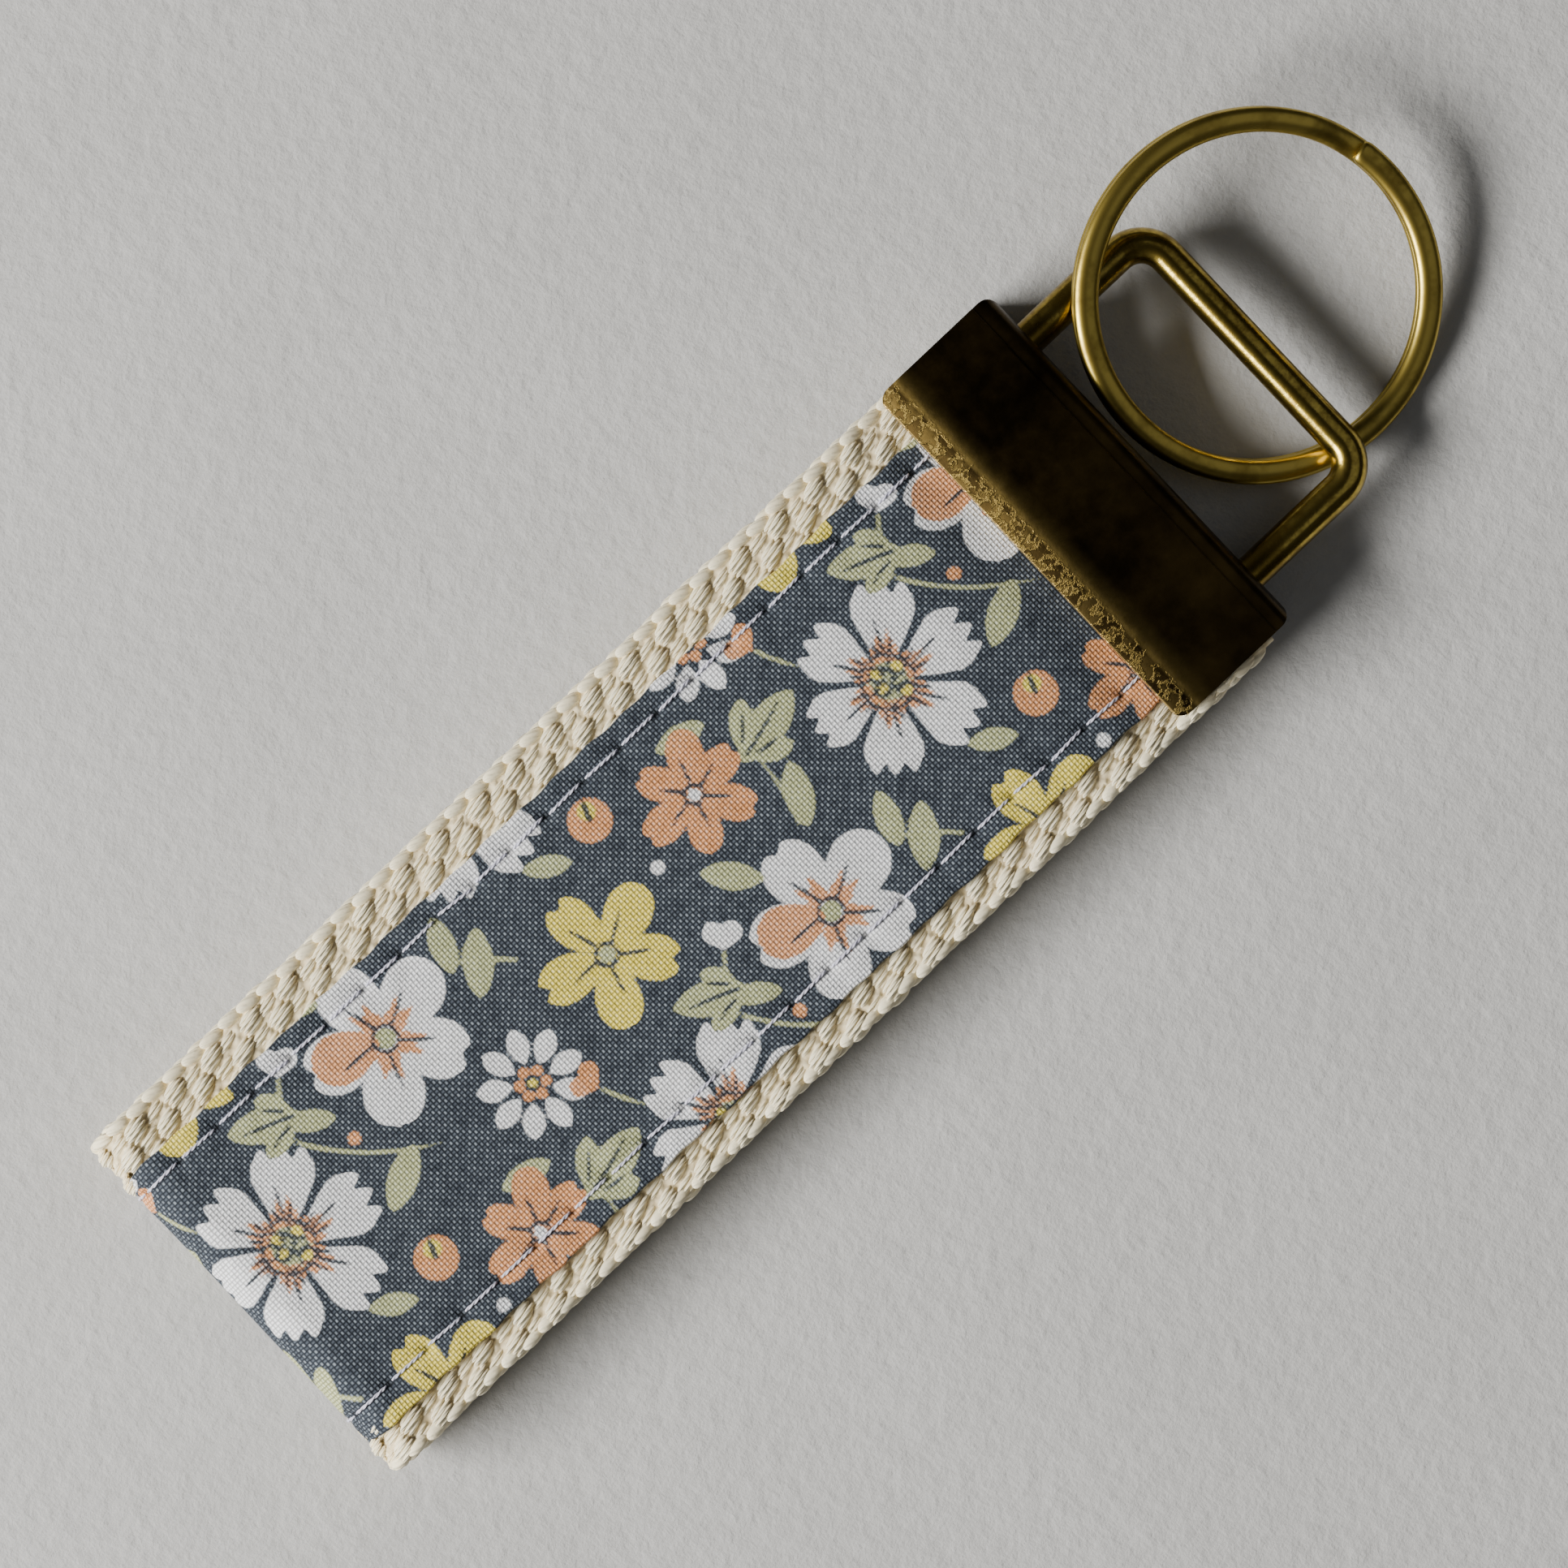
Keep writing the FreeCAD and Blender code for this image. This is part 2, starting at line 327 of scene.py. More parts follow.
def wrap(s, y, lift):
    """Points in space for places on the strap. Negative lifts are inside the webbing.

    Round the fold there is less room inside than there is cloth, so depths are squeezed there.
    """
    s, y, lift = np.broadcast_arrays(s, y, lift)
    x = np.interp(s, path_s, path_xz[:, 0])
    z = np.interp(s, path_s, path_xz[:, 1])
    tx = np.interp(s, path_s, path_tangent[:, 0])
    tz = np.interp(s, path_s, path_tangent[:, 1])
    room = np.where(np.abs(x - nose_x) < 0.01, 9.0, np.abs(z) - 0.05)
    squeeze = np.where(x > nose_x, np.clip(room / web_thickness, 0.4, 1.0), 1.0)
    depth = np.where(lift < 0, lift * squeeze, lift)
    return np.stack([x + tz * depth, y, mid_z + z - tx * depth], axis=-1)


nose_start = path_s[np.argmin(np.abs(path_xz[:, 0] - nose_x))]
print(f"the path is {path_length:.1f} mm long and the fold starts at {nose_start:.1f} mm")

# %% [markdown]
# ## Webbing
# Narrow cotton webbing shows rows of short plump warp floats, each row shifted by half a float from
# the next, and every float is a bundle of parallel strands that lie askew. A bump map can't give
# that: the floats stand half a millimetre high and catch the light on one side. A displaced plane
# would need a very fine grid. So each strand is a small closed grain, and all the grains are one
# array that is wrapped along the path in one call. Between the floats the same strands dive, so
# a lower bundle lies there, painted darker as shade. Under them all is a tan core, which stands for
# the weft; its tan is partly painted shade for the gaps. Rows that the printed strip covers are left out.

# %% Webbing core
row_pitch = 1.28
float_pitch = 3.65
half_width = (web_high[1] - web_low[1]) / 2
first_row = half_width - 1.54
edge_pitch = float_pitch / 2
float_margin = 1.3      # how far the warp floats keep from the raw ends
edge_margin = 1.2       # the same for the yarns of the two edges
corner_steps = 5        # points in each rounded corner of the core
core_ribs = 460


def rounded_section(half_y, low, high, radius):
    """A flat loop with rounded corners: across and lift, going once round."""
    loop = []
    for number, (cy, cz) in enumerate([(1, 1), (-1, 1), (-1, -1), (1, -1)]):
        centre_y = cy * (half_y - radius)
        centre_z = high - radius if cz > 0 else low + radius
        for turn in np.linspace(0, math.pi / 2, corner_steps):
            angle = number * math.pi / 2 + turn
            loop.append((centre_y + radius * math.cos(angle), centre_z + radius * math.sin(angle)))
    return np.array(loop)


def swell(s):
    """How much the webbing bulges past the strip around the fold, as a soft bell."""
    bulge, reach = 0.75, 4.2
    return bulge * np.exp(-(((s - path_length / 2) / reach) ** 2))


def make_core():
    """The weft, as one body. It bulges with the yarns where the strip leaves it free."""
    top, slope = -0.42, 0.5
    section = rounded_section(half_width - 0.45, -web_thickness + 0.3, top, 0.55)
    steps = (strip_high[1] + slope, strip_high[1], strip_low[1], strip_low[1] - slope)
    section = np.insert(section, corner_steps, [(y, top) for y in steps], axis=0)
    across, lift = section.T
    free = np.clip((across - strip_high[1]) / slope, 0, 1) + np.clip((strip_low[1] - across) / slope, 0, 1)
    free *= lift > -web_thickness / 2
    s = np.linspace(0.0, path_length, core_ribs)
    points = wrap(s[:, None], across[None, :], lift[None, :] + 0.9 * free[None, :] * swell(s)[:, None])
    obj = new_object("webbing_core", points.reshape(-1, 3), tube_faces(len(s), len(section)))
    smooth_sides(obj)
    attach(obj, STRAP)
    flat = np.stack(np.broadcast_arrays(s[:, None], across[None, :]), axis=-1).reshape(-1, 2)
    add_uv(obj, "flat", flat)
    return obj


webbing_core = make_core()
print("core faces:", len(webbing_core.data.polygons))

# %% Grains of warp yarn
def grains(shape, centre_s, centre_y, centre_lift, length, width, height, slant, lean, painted_shade):
    """Closed grains of yarn: fat in the middle, round at the ends, set askew by slant and lean.

    Every array here has three axes: which grain, how far along it, and how far round it.
    """
    rows, cols = shape
    count = len(centre_s)
    each = (centre_s, centre_y, centre_lift, length, slant)
    centre_s, centre_y, centre_lift, length, slant = [np.reshape(value, (-1, 1, 1)) for value in each]
    t = np.sin(np.linspace(-math.pi / 2, math.pi / 2, rows))[None, :, None]
    around = around_once(cols)[None, None, :]
    fat = (1 - np.abs(t) ** 2.6) ** 0.5
    radius = fat * (1 + 0.12 * (rng.random((count, 1, 1)) - 0.5))
    s = centre_s + t * length / 2
    y = centre_y + radius * np.cos(around) * width / 2 + slant * t
    lift = centre_lift + radius * np.sin(around) * height / 2 + lean * t
    uv = np.stack([t + 0 * lift, around + 0 * lift], axis=-1)
    # The given offset darkens a whole set of grains as painted shade; each grain adds a random share.
    shade = np.broadcast_to(painted_shade + 0.3 * rng.random((count, 1, 1)), lift.shape)
    return wrap(s, y, lift).reshape(-1, 3), uv.reshape(-1, 2), shade.reshape(-1)


def yarn_object(name, shape, parts):
    """One object from several sets of grains, with their UV map and shades."""
    points, uv, shade = [np.concatenate(kind) for kind in zip(*parts)]
    count = len(points) // (shape[0] * shape[1])
    obj = new_mesh(name, points, grid_faces(count, *shape, wrap_cols=True), STRAP)
    add_uv(obj, "grain", uv)
    add_value(obj, "shade", shade)
    return obj


def warp_floats(covered_low, covered_high, shift=0.0):
    """Places of the warp floats on one face, except where something covers them."""
    places = []
    for row in range(int(2 * half_width / row_pitch)):
        y = first_row - row * row_pitch
        if covered_low < y < covered_high or abs(y) > half_width - 0.7:
            continue
        for number in range(int(path_length / float_pitch)):
            s = (number + 0.5 + 0.5 * (row % 2) + shift) * float_pitch
            if float_margin < s < path_length - float_margin:
                places.append((s + rng.normal(0, 0.10), y + rng.normal(0, 0.05)))
    return np.array(places)


# %% Weave the webbing
strand_count = 4
strand_step = 0.32
strand_grid = (7, 6)    # points along each grain and round it
edge_grid = (9, 8)


def strands(places, lift, length, painted_shade):
    """Splits each float into strands, side by side over a low crown."""
    offset = (np.arange(strand_count) - (strand_count - 1) / 2) * strand_step
    s = places[:, 0:1] + rng.normal(0, 0.09, (len(places), strand_count))
    y = places[:, 1:2] + offset[None, :]
    crown = -0.22 * (offset / 0.5) ** 2 + rng.normal(0, 0.02, s.shape)
    long = length * (1 - 0.18 * (offset[None, :] / 0.5) ** 2) + rng.normal(0, 0.10, s.shape)
    height = lift + crown + swell(s)
    return grains(strand_grid, s.ravel(), y.ravel(), height.ravel(), long.ravel(),
                  width=0.44, height=0.62, slant=-0.27, lean=0.10, painted_shade=painted_shade)


def make_webbing():
    """The outer face: the floats, and the bundles that dive between them, painted darker as shade."""
    low, high = strip_low[1] + 0.9, strip_high[1] - 0.9
    return yarn_object("webbing_yarns", strand_grid, [
        strands(warp_floats(low, high), lift=-0.22, length=2.2, painted_shade=0.0),
        strands(warp_floats(low, high, 0.5), lift=-0.52, length=2.1, painted_shade=0.30),
    ])


def make_webbing_edges():
    """The two woven edges, and the face that is turned inside the fold."""
    inner = warp_floats(-half_width + 4.2, half_width - 4.2)
    edge = []
    for side in (1, -1):
        for layer, lift in enumerate((-0.48, -1.08, -1.62)):
            for number in range(int(path_length / edge_pitch)):
                s = (number + 0.5 * (layer % 2) + 0.5) * edge_pitch
                if edge_margin < s < path_length - edge_margin:
                    y = side * (half_width - (0.50 if layer == 1 else 0.60)) + rng.normal(0, 0.05)
                    edge.append((s + rng.normal(0, 0.08), y, lift))
    s, y, lift = np.array(edge).T
    # The inner face and the edge yarns get a little painted shade.
    return yarn_object("webbing_edges", edge_grid, [
        grains(edge_grid, inner[:, 0], inner[:, 1], -web_thickness + 0.42,
               length=2.5, width=1.35, height=0.9, slant=-0.3, lean=0.1, painted_shade=0.1),
        grains(edge_grid, s, y, lift + swell(s),
               length=2.1, width=0.95, height=0.82, slant=0.10 * np.sign(y), lean=0.22, painted_shade=0.1),
    ])


webbing_yarns = make_webbing()
webbing_edges = make_webbing_edges()
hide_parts("webbing_strap")
print("yarn faces:", len(webbing_yarns.data.polygons), len(webbing_edges.data.polygons))

# %% [markdown]
# Raw cotton isn't one cream, and fine fibres run askew along each grain. The end of a grain that
# dives under its neighbour is painted tan as shade, so the raised end looks nearly white, and the
# lower bundles between the floats are painted darker as shade too. The fibres are waves across the
# grain's own UV map, so they turn with the yarn. A little sheen gives the soft rim that cotton fibres
# have.

# %% Cotton material
def cotton_material():
    """Cream yarn, with painted shade that turns it tan where a grain dives and on the lower bundles."""
    material, shader, start = new_material("raw_cotton", Roughness=0.62, Specular_IOR_Level=0.35,
                                           Sheen_Weight=0.15, Sheen_Roughness=0.5)
    along, around = uv_pair(start, "grain")
    shade = attribute(start, "shade")
    spot = noise(start, place(start), 900.0, 3.0)
    fibres = (around * 6.0 + along * 5.0 + spot * 4.0).sin() * 0.5 + 0.5
    # Painted shade: the end of each grain that dives under its neighbour is darkened towards tan.
    dived_end_shade = ((0.5 - along * 0.5) ** 3.0) * 0.60
    # This sums the painted shade, the darker fibre grain and random blotches.
    dark = (dived_end_shade + (1 - fibres) * 0.10 + shade * 0.42 + (spot - 0.5) * 0.3).clamp()
    colour = dark.mix((1.0, 0.92, 0.67), (0.82, 0.64, 0.35))
    plug(shader, start, Base_Color=colour, Normal=bump(start, fibres + spot * 0.6, 0.05))
    return material


def core_material():
    """Tan weft with soft ribs, which shows only in the gaps. Its tan is partly painted shade for the gaps.
    """
    material, shader, start = new_material("cotton_weft", Roughness=0.95, Specular_IOR_Level=0.15)
    along, across = uv_pair(start, "flat")
    spot = noise(start, place(start), 1400.0, 3.0)
    ribs = (along * FULL_TURN).sin() * (across * (FULL_TURN / 1.2)).sin() * 0.5 + 0.5
    # The weft's tan is partly its own colour and partly painted shade for the gaps between floats.
    colour = (ribs * 0.6 + spot * 0.5).clamp().mix((0.56, 0.44, 0.24), (0.84, 0.74, 0.51))
    plug(shader, start, Base_Color=colour, Normal=bump(start, ribs + spot, 0.15))
    return material


raw_cotton = cotton_material()
webbing_yarns.data.materials.append(raw_cotton)
webbing_edges.data.materials.append(raw_cotton)
webbing_core.data.materials.append(core_material())
print("cotton:", raw_cotton.name)

# %% [markdown]
# ## The printed pattern
# A mill prints a floral cotton with one screen for each ink. The same idea works here. For each ink,
# every point of the cloth stores how far it is from the nearest printed edge, negative inside. That
# distance changes smoothly, so the mesh can be much coarser than the print and the material still
# cuts a crisp edge where the distance passes zero. Painting colours on the points would blur every
# petal by the width of a face, and an image would be a fixed picture instead of a rule.
#
# A petal is a shape in its own axes: along it from the heart of the flower, and across it. Its half
# width grows and closes as a sine. The flowers are a made-up meadow of common shapes.

# %% Inks and shapes
INKS = ("white", "peach", "yellow", "sage", "line")


def polar(centre, distance, angle):
    """The point at a distance and an angle from a centre."""
    return centre[0] + distance * math.cos(angle), centre[1] + distance * math.sin(angle)


class Screens:
    """Distances to the printed edges, for every point of the cloth and each ink."""

    def __init__(self, x, y):
        self.x, self.y = x, y
        self.ink = {name: np.full(x.shape, 5.0) for name in INKS}

    def local(self, centre, angle, reach):
        """The points near a centre, and where they are along and across a line at this angle."""
        near = np.nonzero((np.abs(self.x - centre[0]) < reach) & (np.abs(self.y - centre[1]) < reach))
        dx, dy = self.x[near] - centre[0], self.y[near] - centre[1]
        along = dx * math.cos(angle) + dy * math.sin(angle)
        return near, along, dy * math.cos(angle) - dx * math.sin(angle)

    def draw(self, ink, near, distance):
        """Adds a shape to an ink: the nearer edge counts."""
        self.ink[ink][near] = np.minimum(self.ink[ink][near], distance)

    def blade(self, ink, near, along, across, start, end, half):
        """A long shape from start to end, which reaches half a width to both sides."""
        ends = np.maximum(start - along, along - end)
        self.draw(ink, near, np.maximum(np.abs(across) - half, ends))

    def petal(self, ink, centre, angle, start, end, width, fullness, notch=0.0, blunt=0.62):
        """A petal or leaf. A fuller one is widest nearer its tip, and a notch dimples the tip."""
        near, along, across = self.local(centre, angle, end + 1.5)
        t = np.clip((along - start) / (end - start), 0, 1)
        half = width / 2 * np.sin(math.pi * t ** fullness) ** blunt
        tip = end - notch * np.clip(1 - np.abs(across) / (0.24 * width), 0, 1)
        self.blade(ink, near, along, across, start, tip, half)

    def fan(self, ink, centre, angle, start, end, width, notch, lobes=3):
        """A petal that widens to a ragged tip."""
        near, along, across = self.local(centre, angle, end + 1.5)
        t = np.clip((along - start) / (end - start), 0, 1)
        opening = np.clip(t / 0.62, 0, 1) ** 0.75
        closing = np.sqrt(1 - np.clip((t - 0.7) / 0.42, 0, 1) ** 2)
        half = width / 2 * opening * closing
        teeth = np.abs(np.sin(math.pi * (lobes * across / width + 0.5)))
        tip = end - notch * (1 - teeth) - 0.35 * (across / width * 2) ** 2
        self.blade(ink, near, along, across, start, tip, half)

    def ring(self, ink, centre, radius, width):
        near, along, across = self.local(centre, 0.0, radius + 1.5)
        self.draw(ink, near, np.abs(np.hypot(along, across) - radius) - width / 2)

    def dot(self, ink, centre, radius):
        near, along, across = self.local(centre, 0.0, radius + 1.5)
        self.draw(ink, near, np.hypot(along, across) - radius)

    def stroke(self, ink, centre, angle, start, end, width, bend=0.0):
        """A thin line that leaves a centre at an angle, and may curve."""
        near, along, across = self.local(centre, angle, end + 1.5)
        across = across - bend * along ** 2
        taper = width / 2 * np.clip((end - along) / (end - start) * 2.5, 0, 1) ** 0.5
        self.blade(ink, near, along, across, start, end, taper)

    def leaf(self, centre, angle, length, width):
        """A plain pointed leaf. It gives back the place where its stalk would join."""
        base = polar(centre, -length / 2, angle)
        self.petal("sage", base, angle, 0.0, length, width, 1.0)
        return base

    def lobed_leaf(self, centre, angle, length, width):
        """A broad leaf with two side lobes and a dark vein in each."""
        base = self.leaf(centre, angle, length, width)
        self.stroke("line", base, angle, 0.10 * length, 0.80 * length, 0.18, 0.015)
        for side, share in ((0.62, 0.72), (-0.58, 0.64)):
            self.petal("sage", base, angle + side, 0.12 * length, share * length, 0.62 * width, 1.2)
            self.stroke("line", base, angle + side * 0.8, 0.22 * length, 0.8 * share * length, 0.16, 0.03)

    def stem(self, a, b):
        """A slightly curved stem from a towards b."""
        angle = math.atan2(b[1] - a[1], b[0] - a[0])
        self.stroke("sage", a, angle, 0.0, math.dist(a, b), 0.34, 0.03)


# %% Flowers
def ragged_flower(cloth, centre, radius, turn, petals=6):
    """A big white flower: wide petals with ragged tips, peach flashes and a cluster of seeds."""
    for number in range(petals):
        angle = turn + number * FULL_TURN / petals
        size = radius * (1 + 0.07 * math.sin(5 * number + 1))
        cloth.fan("white", centre, angle, 0.14 * size, size, 0.63 * size, 0.15 * size)
        for side in (-0.20, 0.03, 0.24):
            cloth.stroke("line", centre, angle + side, 0.30 * size, (0.66 - abs(side)) * size, 0.15, 0.03)
        for side, end in ((-0.34, 0.40), (-0.12, 0.52), (0.12, 0.48), (0.35, 0.38)):
            cloth.stroke("peach", centre, angle + side, 0.20 * size, end * size, 0.065 * size, 0.02)
    cloth.dot("sage", centre, 0.27 * radius)
    cloth.ring("line", centre, 0.29 * radius, 0.12)
    seeds = 9
    golden_angle = 2.4      # each seed turns by this much, as in a real seed head
    for number in range(seeds):
        spread = 0.23 * radius * math.sqrt((number + 0.5) / seeds)
        seed = polar(centre, spread, turn + number * golden_angle)
        cloth.ring("line", seed, 0.085 * radius, 0.08)
        if number % 2:
            cloth.dot("yellow", seed, 0.070 * radius)


def round_flower(cloth, centre, radius, turn, ink, heart, petals=5, width=None, notch=0.11, flash="peach"):
    """A flower of wide petals, most with dimpled tips, and flashes and veins from its heart."""
    width = width or 0.96 * math.tan(math.pi / petals)
    for number in range(petals):
        angle = turn + number * FULL_TURN / petals + 0.05 * math.sin(7 * number + radius)
        size = radius * (1 + 0.06 * math.sin(3 * number + turn))
        dimple = notch * size if number % 3 else 0.0
        cloth.petal(ink, centre, angle, 0.10 * size, size, width * size, 1.3, dimple, 0.42)
        cloth.stroke("line", centre, angle + 0.08, 0.14 * size, 0.58 * size, 0.17, 0.035)
        if flash:
            for side, end in ((-0.40, 0.32), (-0.22, 0.48), (-0.04, 0.38), (0.22, 0.50), (0.40, 0.30)):
                cloth.stroke(flash, centre, angle + side, 0.14 * size, end * size, 0.07 * size, 0.02)
    cloth.ring("line", centre, 0.15 * radius, 0.15)
    cloth.dot(heart, centre, 0.12 * radius)


def odd_petal(cloth, centre, radius, angle, ink):
    """A petal of another ink, laid over one of a flower's own."""
    cloth.petal(ink, centre, angle, 0.10 * radius, radius, 0.66 * radius, 1.3, blunt=0.45)


def seeded_daisy(cloth, centre, radius, turn, petals=9):
    """A daisy with many narrow petals around a ring of dots."""
    for number in range(petals):
        angle = turn + number * FULL_TURN / petals
        cloth.petal("white", centre, angle, 0.36 * radius, radius, 0.38 * radius, 1.15)
    for number in range(6):
        seed = polar(centre, 0.24 * radius, turn + number * math.pi / 3)
        cloth.dot("peach", seed, 0.10 * radius)
    cloth.ring("line", centre, 0.11 * radius, 0.10)
    cloth.dot("yellow", centre, 0.10 * radius)


def bud(cloth, centre, angle, ink, size):
    """A heart-shaped bud: two plump petals that share a point, on a stem."""
    for side in (-0.48, 0.48):
        cloth.petal(ink, centre, angle + side, 0.0, 1.4 * size, 0.95 * size, 1.7)
    cloth.stroke("sage", centre, angle + math.pi, 0.1, 2.4 * size, 0.32, 0.04)


def half_moon_bud(cloth, centre, angle, size):
    """A round peach bud with a yellow eye."""
    cloth.dot("peach", centre, size)
    cloth.stroke("line", centre, angle, 0.0, size, 0.28)
    cloth.dot("yellow", polar(centre, 0.45 * size, angle), 0.42 * size)


# %% [markdown]
# The meadow is a half-drop repeat, as many prints are: one small tile of flowers, buds and leaves
# covers the cloth in columns, and each column drops by half a tile. A few kinds of flower then look
# scattered, and the cloth can be of any length. Distances are millimetres along and across the strap.

# %% Lay out the meadow
tile_length, tile_height = 29.0, 30.0
tile_shift = 6.0        # moves the whole print across the strap


def meadow_tile(cloth, x, y):
    """The flowers, buds and leaves of one tile, whose corner is at x, y."""
    def at(u, v):
        return (x + u, y + v)

    ragged_flower(cloth, at(7.0, 7.0), 6.7, 0.9)
    round_flower(cloth, at(22.0, 13.0), 6.2, 0.3, "white", "sage")
    round_flower(cloth, at(8.4, 21.6), 5.4, 0.4, "yellow", "sage", width=0.62, notch=0.14, flash=None)
    round_flower(cloth, at(20.6, 25.6), 4.5, 1.1, "peach", "white", petals=6, notch=0.10, flash=None)
    seeded_daisy(cloth, at(27.4, 3.6), 4.0, 0.5)
    odd_petal(cloth, at(22.0, 13.0), 5.6, 0.3 + 4 * math.pi / 5, "peach")
    half_moon_bud(cloth, at(14.0, 29.3), 1.2, 1.6)
    bud(cloth, at(14.6, 16.2), 0.9, "white", 1.6)
    bud(cloth, at(1.6, 15.2), 1.9, "peach", 1.5)
    cloth.dot("peach", at(15.6, 9.4), 0.5)
    cloth.dot("white", at(15.2, 23.6), 0.5)
    plain_leaves = [
        (16.2, 5.0, 0.5, 5.0, 2.2), (18.6, 19.6, 2.3, 4.6, 2.0), (1.4, 27.4, 0.9, 5.0, 2.2),
        (26.0, 20.6, 1.1, 4.8, 2.1), (14.2, 12.4, -0.6, 3.6, 1.6), (22.6, -0.8, -0.2, 4.0, 1.8),
        (9.6, 29.0, 2.6, 3.6, 1.6), (29.4, 15.0, 1.2, 4.2, 1.9),
    ]
    for u, v, angle, length, width in plain_leaves:
        cloth.leaf(at(u, v), angle, length, width)
    cloth.lobed_leaf(at(27.6, 25.6), 0.2, 6.2, 2.8)
    cloth.lobed_leaf(at(11.6, 14.4), 2.7, 5.4, 2.5)
    cloth.stem(at(12.4, 12.0), at(17.4, 3.4))
    cloth.stem(at(24.6, 19.0), at(26.6, 24.4))
    cloth.stem(at(3.6, 25.6), at(0.2, 29.4))


def meadow(cloth):
    """Lays tiles from the clamp to the far end of the cloth, hems and all."""
    columns = math.ceil(path_length / tile_length) + 1
    for column in range(columns):
        for row in (-1.5, -0.5, 0.5):
            drop = 0.5 * (column % 2)
            meadow_tile(cloth, strap_end - column * tile_length, (row + drop) * tile_height - tile_shift)


# %% [markdown]
# ## The printed strip
# The strip is a flat piece of cotton whose two long edges are turned under, so that no raw edge
# shows. The mesh follows that: one sheet whose section runs along the face, round the soft folded
# edge and back underneath as a hem. The rows of stitches pull it down into the webbing. Each
# hole is a dimple and the cloth between two holes puffs up a little. Cloth simulation isn't
# needed for a strip that is held down along both edges, so these dents are simple bell curves.

# %% Cut the strip
strip_y = (strip_low[1] + strip_high[1]) / 2
strip_half = (strip_high[1] - strip_low[1]) / 2
fold_round = 0.19
hem = 5.5
stitch_rows = (10.65, -10.85)
stitch_pitch = 3.5
stitch_count = int(path_length / stitch_pitch)
stitch_step = path_length / stitch_count
turn_length = math.pi * fold_round
flat_half = strip_half - fold_round + turn_length + hem
cloth_grid = 0.25       # size of the strip's faces


def from_hole(s):
    """How far along the strap a place is from the nearest stitch hole."""
    return (s + stitch_step / 2) % stitch_step - stitch_step / 2


def strip_section(v):
    """Across and lift for places on the flat cloth, and which of them are on its face."""
    edge = strip_half - fold_round
    out = np.abs(v)
    angle = np.clip((out - edge) / fold_round, 0, math.pi)
    under = np.clip(out - edge - turn_length, 0, None)
    across = np.minimum(out, edge) + fold_round * np.sin(angle) - under
    lift = strip_thickness - fold_round + fold_round * np.cos(angle)
    return np.sign(v) * across + strip_y, lift, angle < 0.2


def dents(s, y):
    """How far the stitches pull the cloth down, and how it puffs between them."""
    lift = 0.035 * np.sin(0.21 * s + 0.5) * np.cos(0.34 * y) + 0.02 * np.sin(0.83 * s + 0.4 * y)
    for row in stitch_rows:
        away = y - row
        phase = FULL_TURN * s / stitch_step
        hole = from_hole(s)
        lift = lift - 0.11 * np.exp(-((away / 0.42) ** 2))
        lift = lift - 0.20 * np.exp(-((away / 0.40) ** 2) - (hole / 0.42) ** 2)
        lift = lift - 0.045 * np.cos(phase) * np.exp(-(((np.abs(away) - 1.0) / 0.9) ** 2))
    return lift


def make_strip():
    """The sheet, with the places of its points on the flat cloth. Its ends stop just short."""
    face = np.arange(-strip_half + fold_round, strip_half - fold_round + 0.01, cloth_grid)
    bend = np.linspace(0, turn_length, 7)[1:] + strip_half - fold_round
    under = np.linspace(0, hem, 5)[1:] + bend[-1]
    side = np.concatenate([bend, under])
    v = np.concatenate([-side[::-1], face, side])
    s = np.arange(0.4, path_length - 0.4, cloth_grid)
    y, lift, on_face = strip_section(v)
    edge_wave = 0.06 * np.sin(1.9 * s) + 0.05 * np.sin(0.77 * s + 1.0)
    outer = np.clip((np.abs(v) - strip_half + 3.0) / 3.0, 0, 1) * np.sign(v)
    y = y[None, :] + outer[None, :] * edge_wave[:, None]
    lift = lift[None, :] + dents(s[:, None], y) * on_face[None, :]
    points = wrap(s[:, None], y, lift)
    obj = new_mesh("printed_cotton_strip", points.reshape(-1, 3), grid_faces(1, len(s), len(v)), STRAP)
    flat_s, flat_v = np.meshgrid(s, v, indexing="ij")
    add_uv(obj, "flat", np.stack([flat_s, flat_v], axis=-1).reshape(-1, 2))
    return obj, flat_s, flat_v


printed_strip, flat_s, flat_v = make_strip()
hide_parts("printed_strip")
2 * flat_half * MM
print(f"strip: cut {2 * flat_half:.1f} x {path_length:.1f} mm, {len(printed_strip.data.polygons)} faces")

# %% Print it
def print_strip():
    """Stores the distance to every ink, and to the nearest stitch hole, on the points."""
    s, y = flat_s.ravel(), flat_v.ravel() + strip_y
    cloth = Screens(strap_end - s, y)
    meadow(cloth)
    for name in INKS:
        add_value(printed_strip, name, cloth.ink[name])
        print(f"{name}: {100 * np.mean(cloth.ink[name] < 0):.0f} % of the cloth")
    first, second = [np.hypot(from_hole(s), y - row) for row in stitch_rows]
    add_value(printed_strip, "holes", np.minimum(3.0, np.minimum(first, second)))


print_strip()
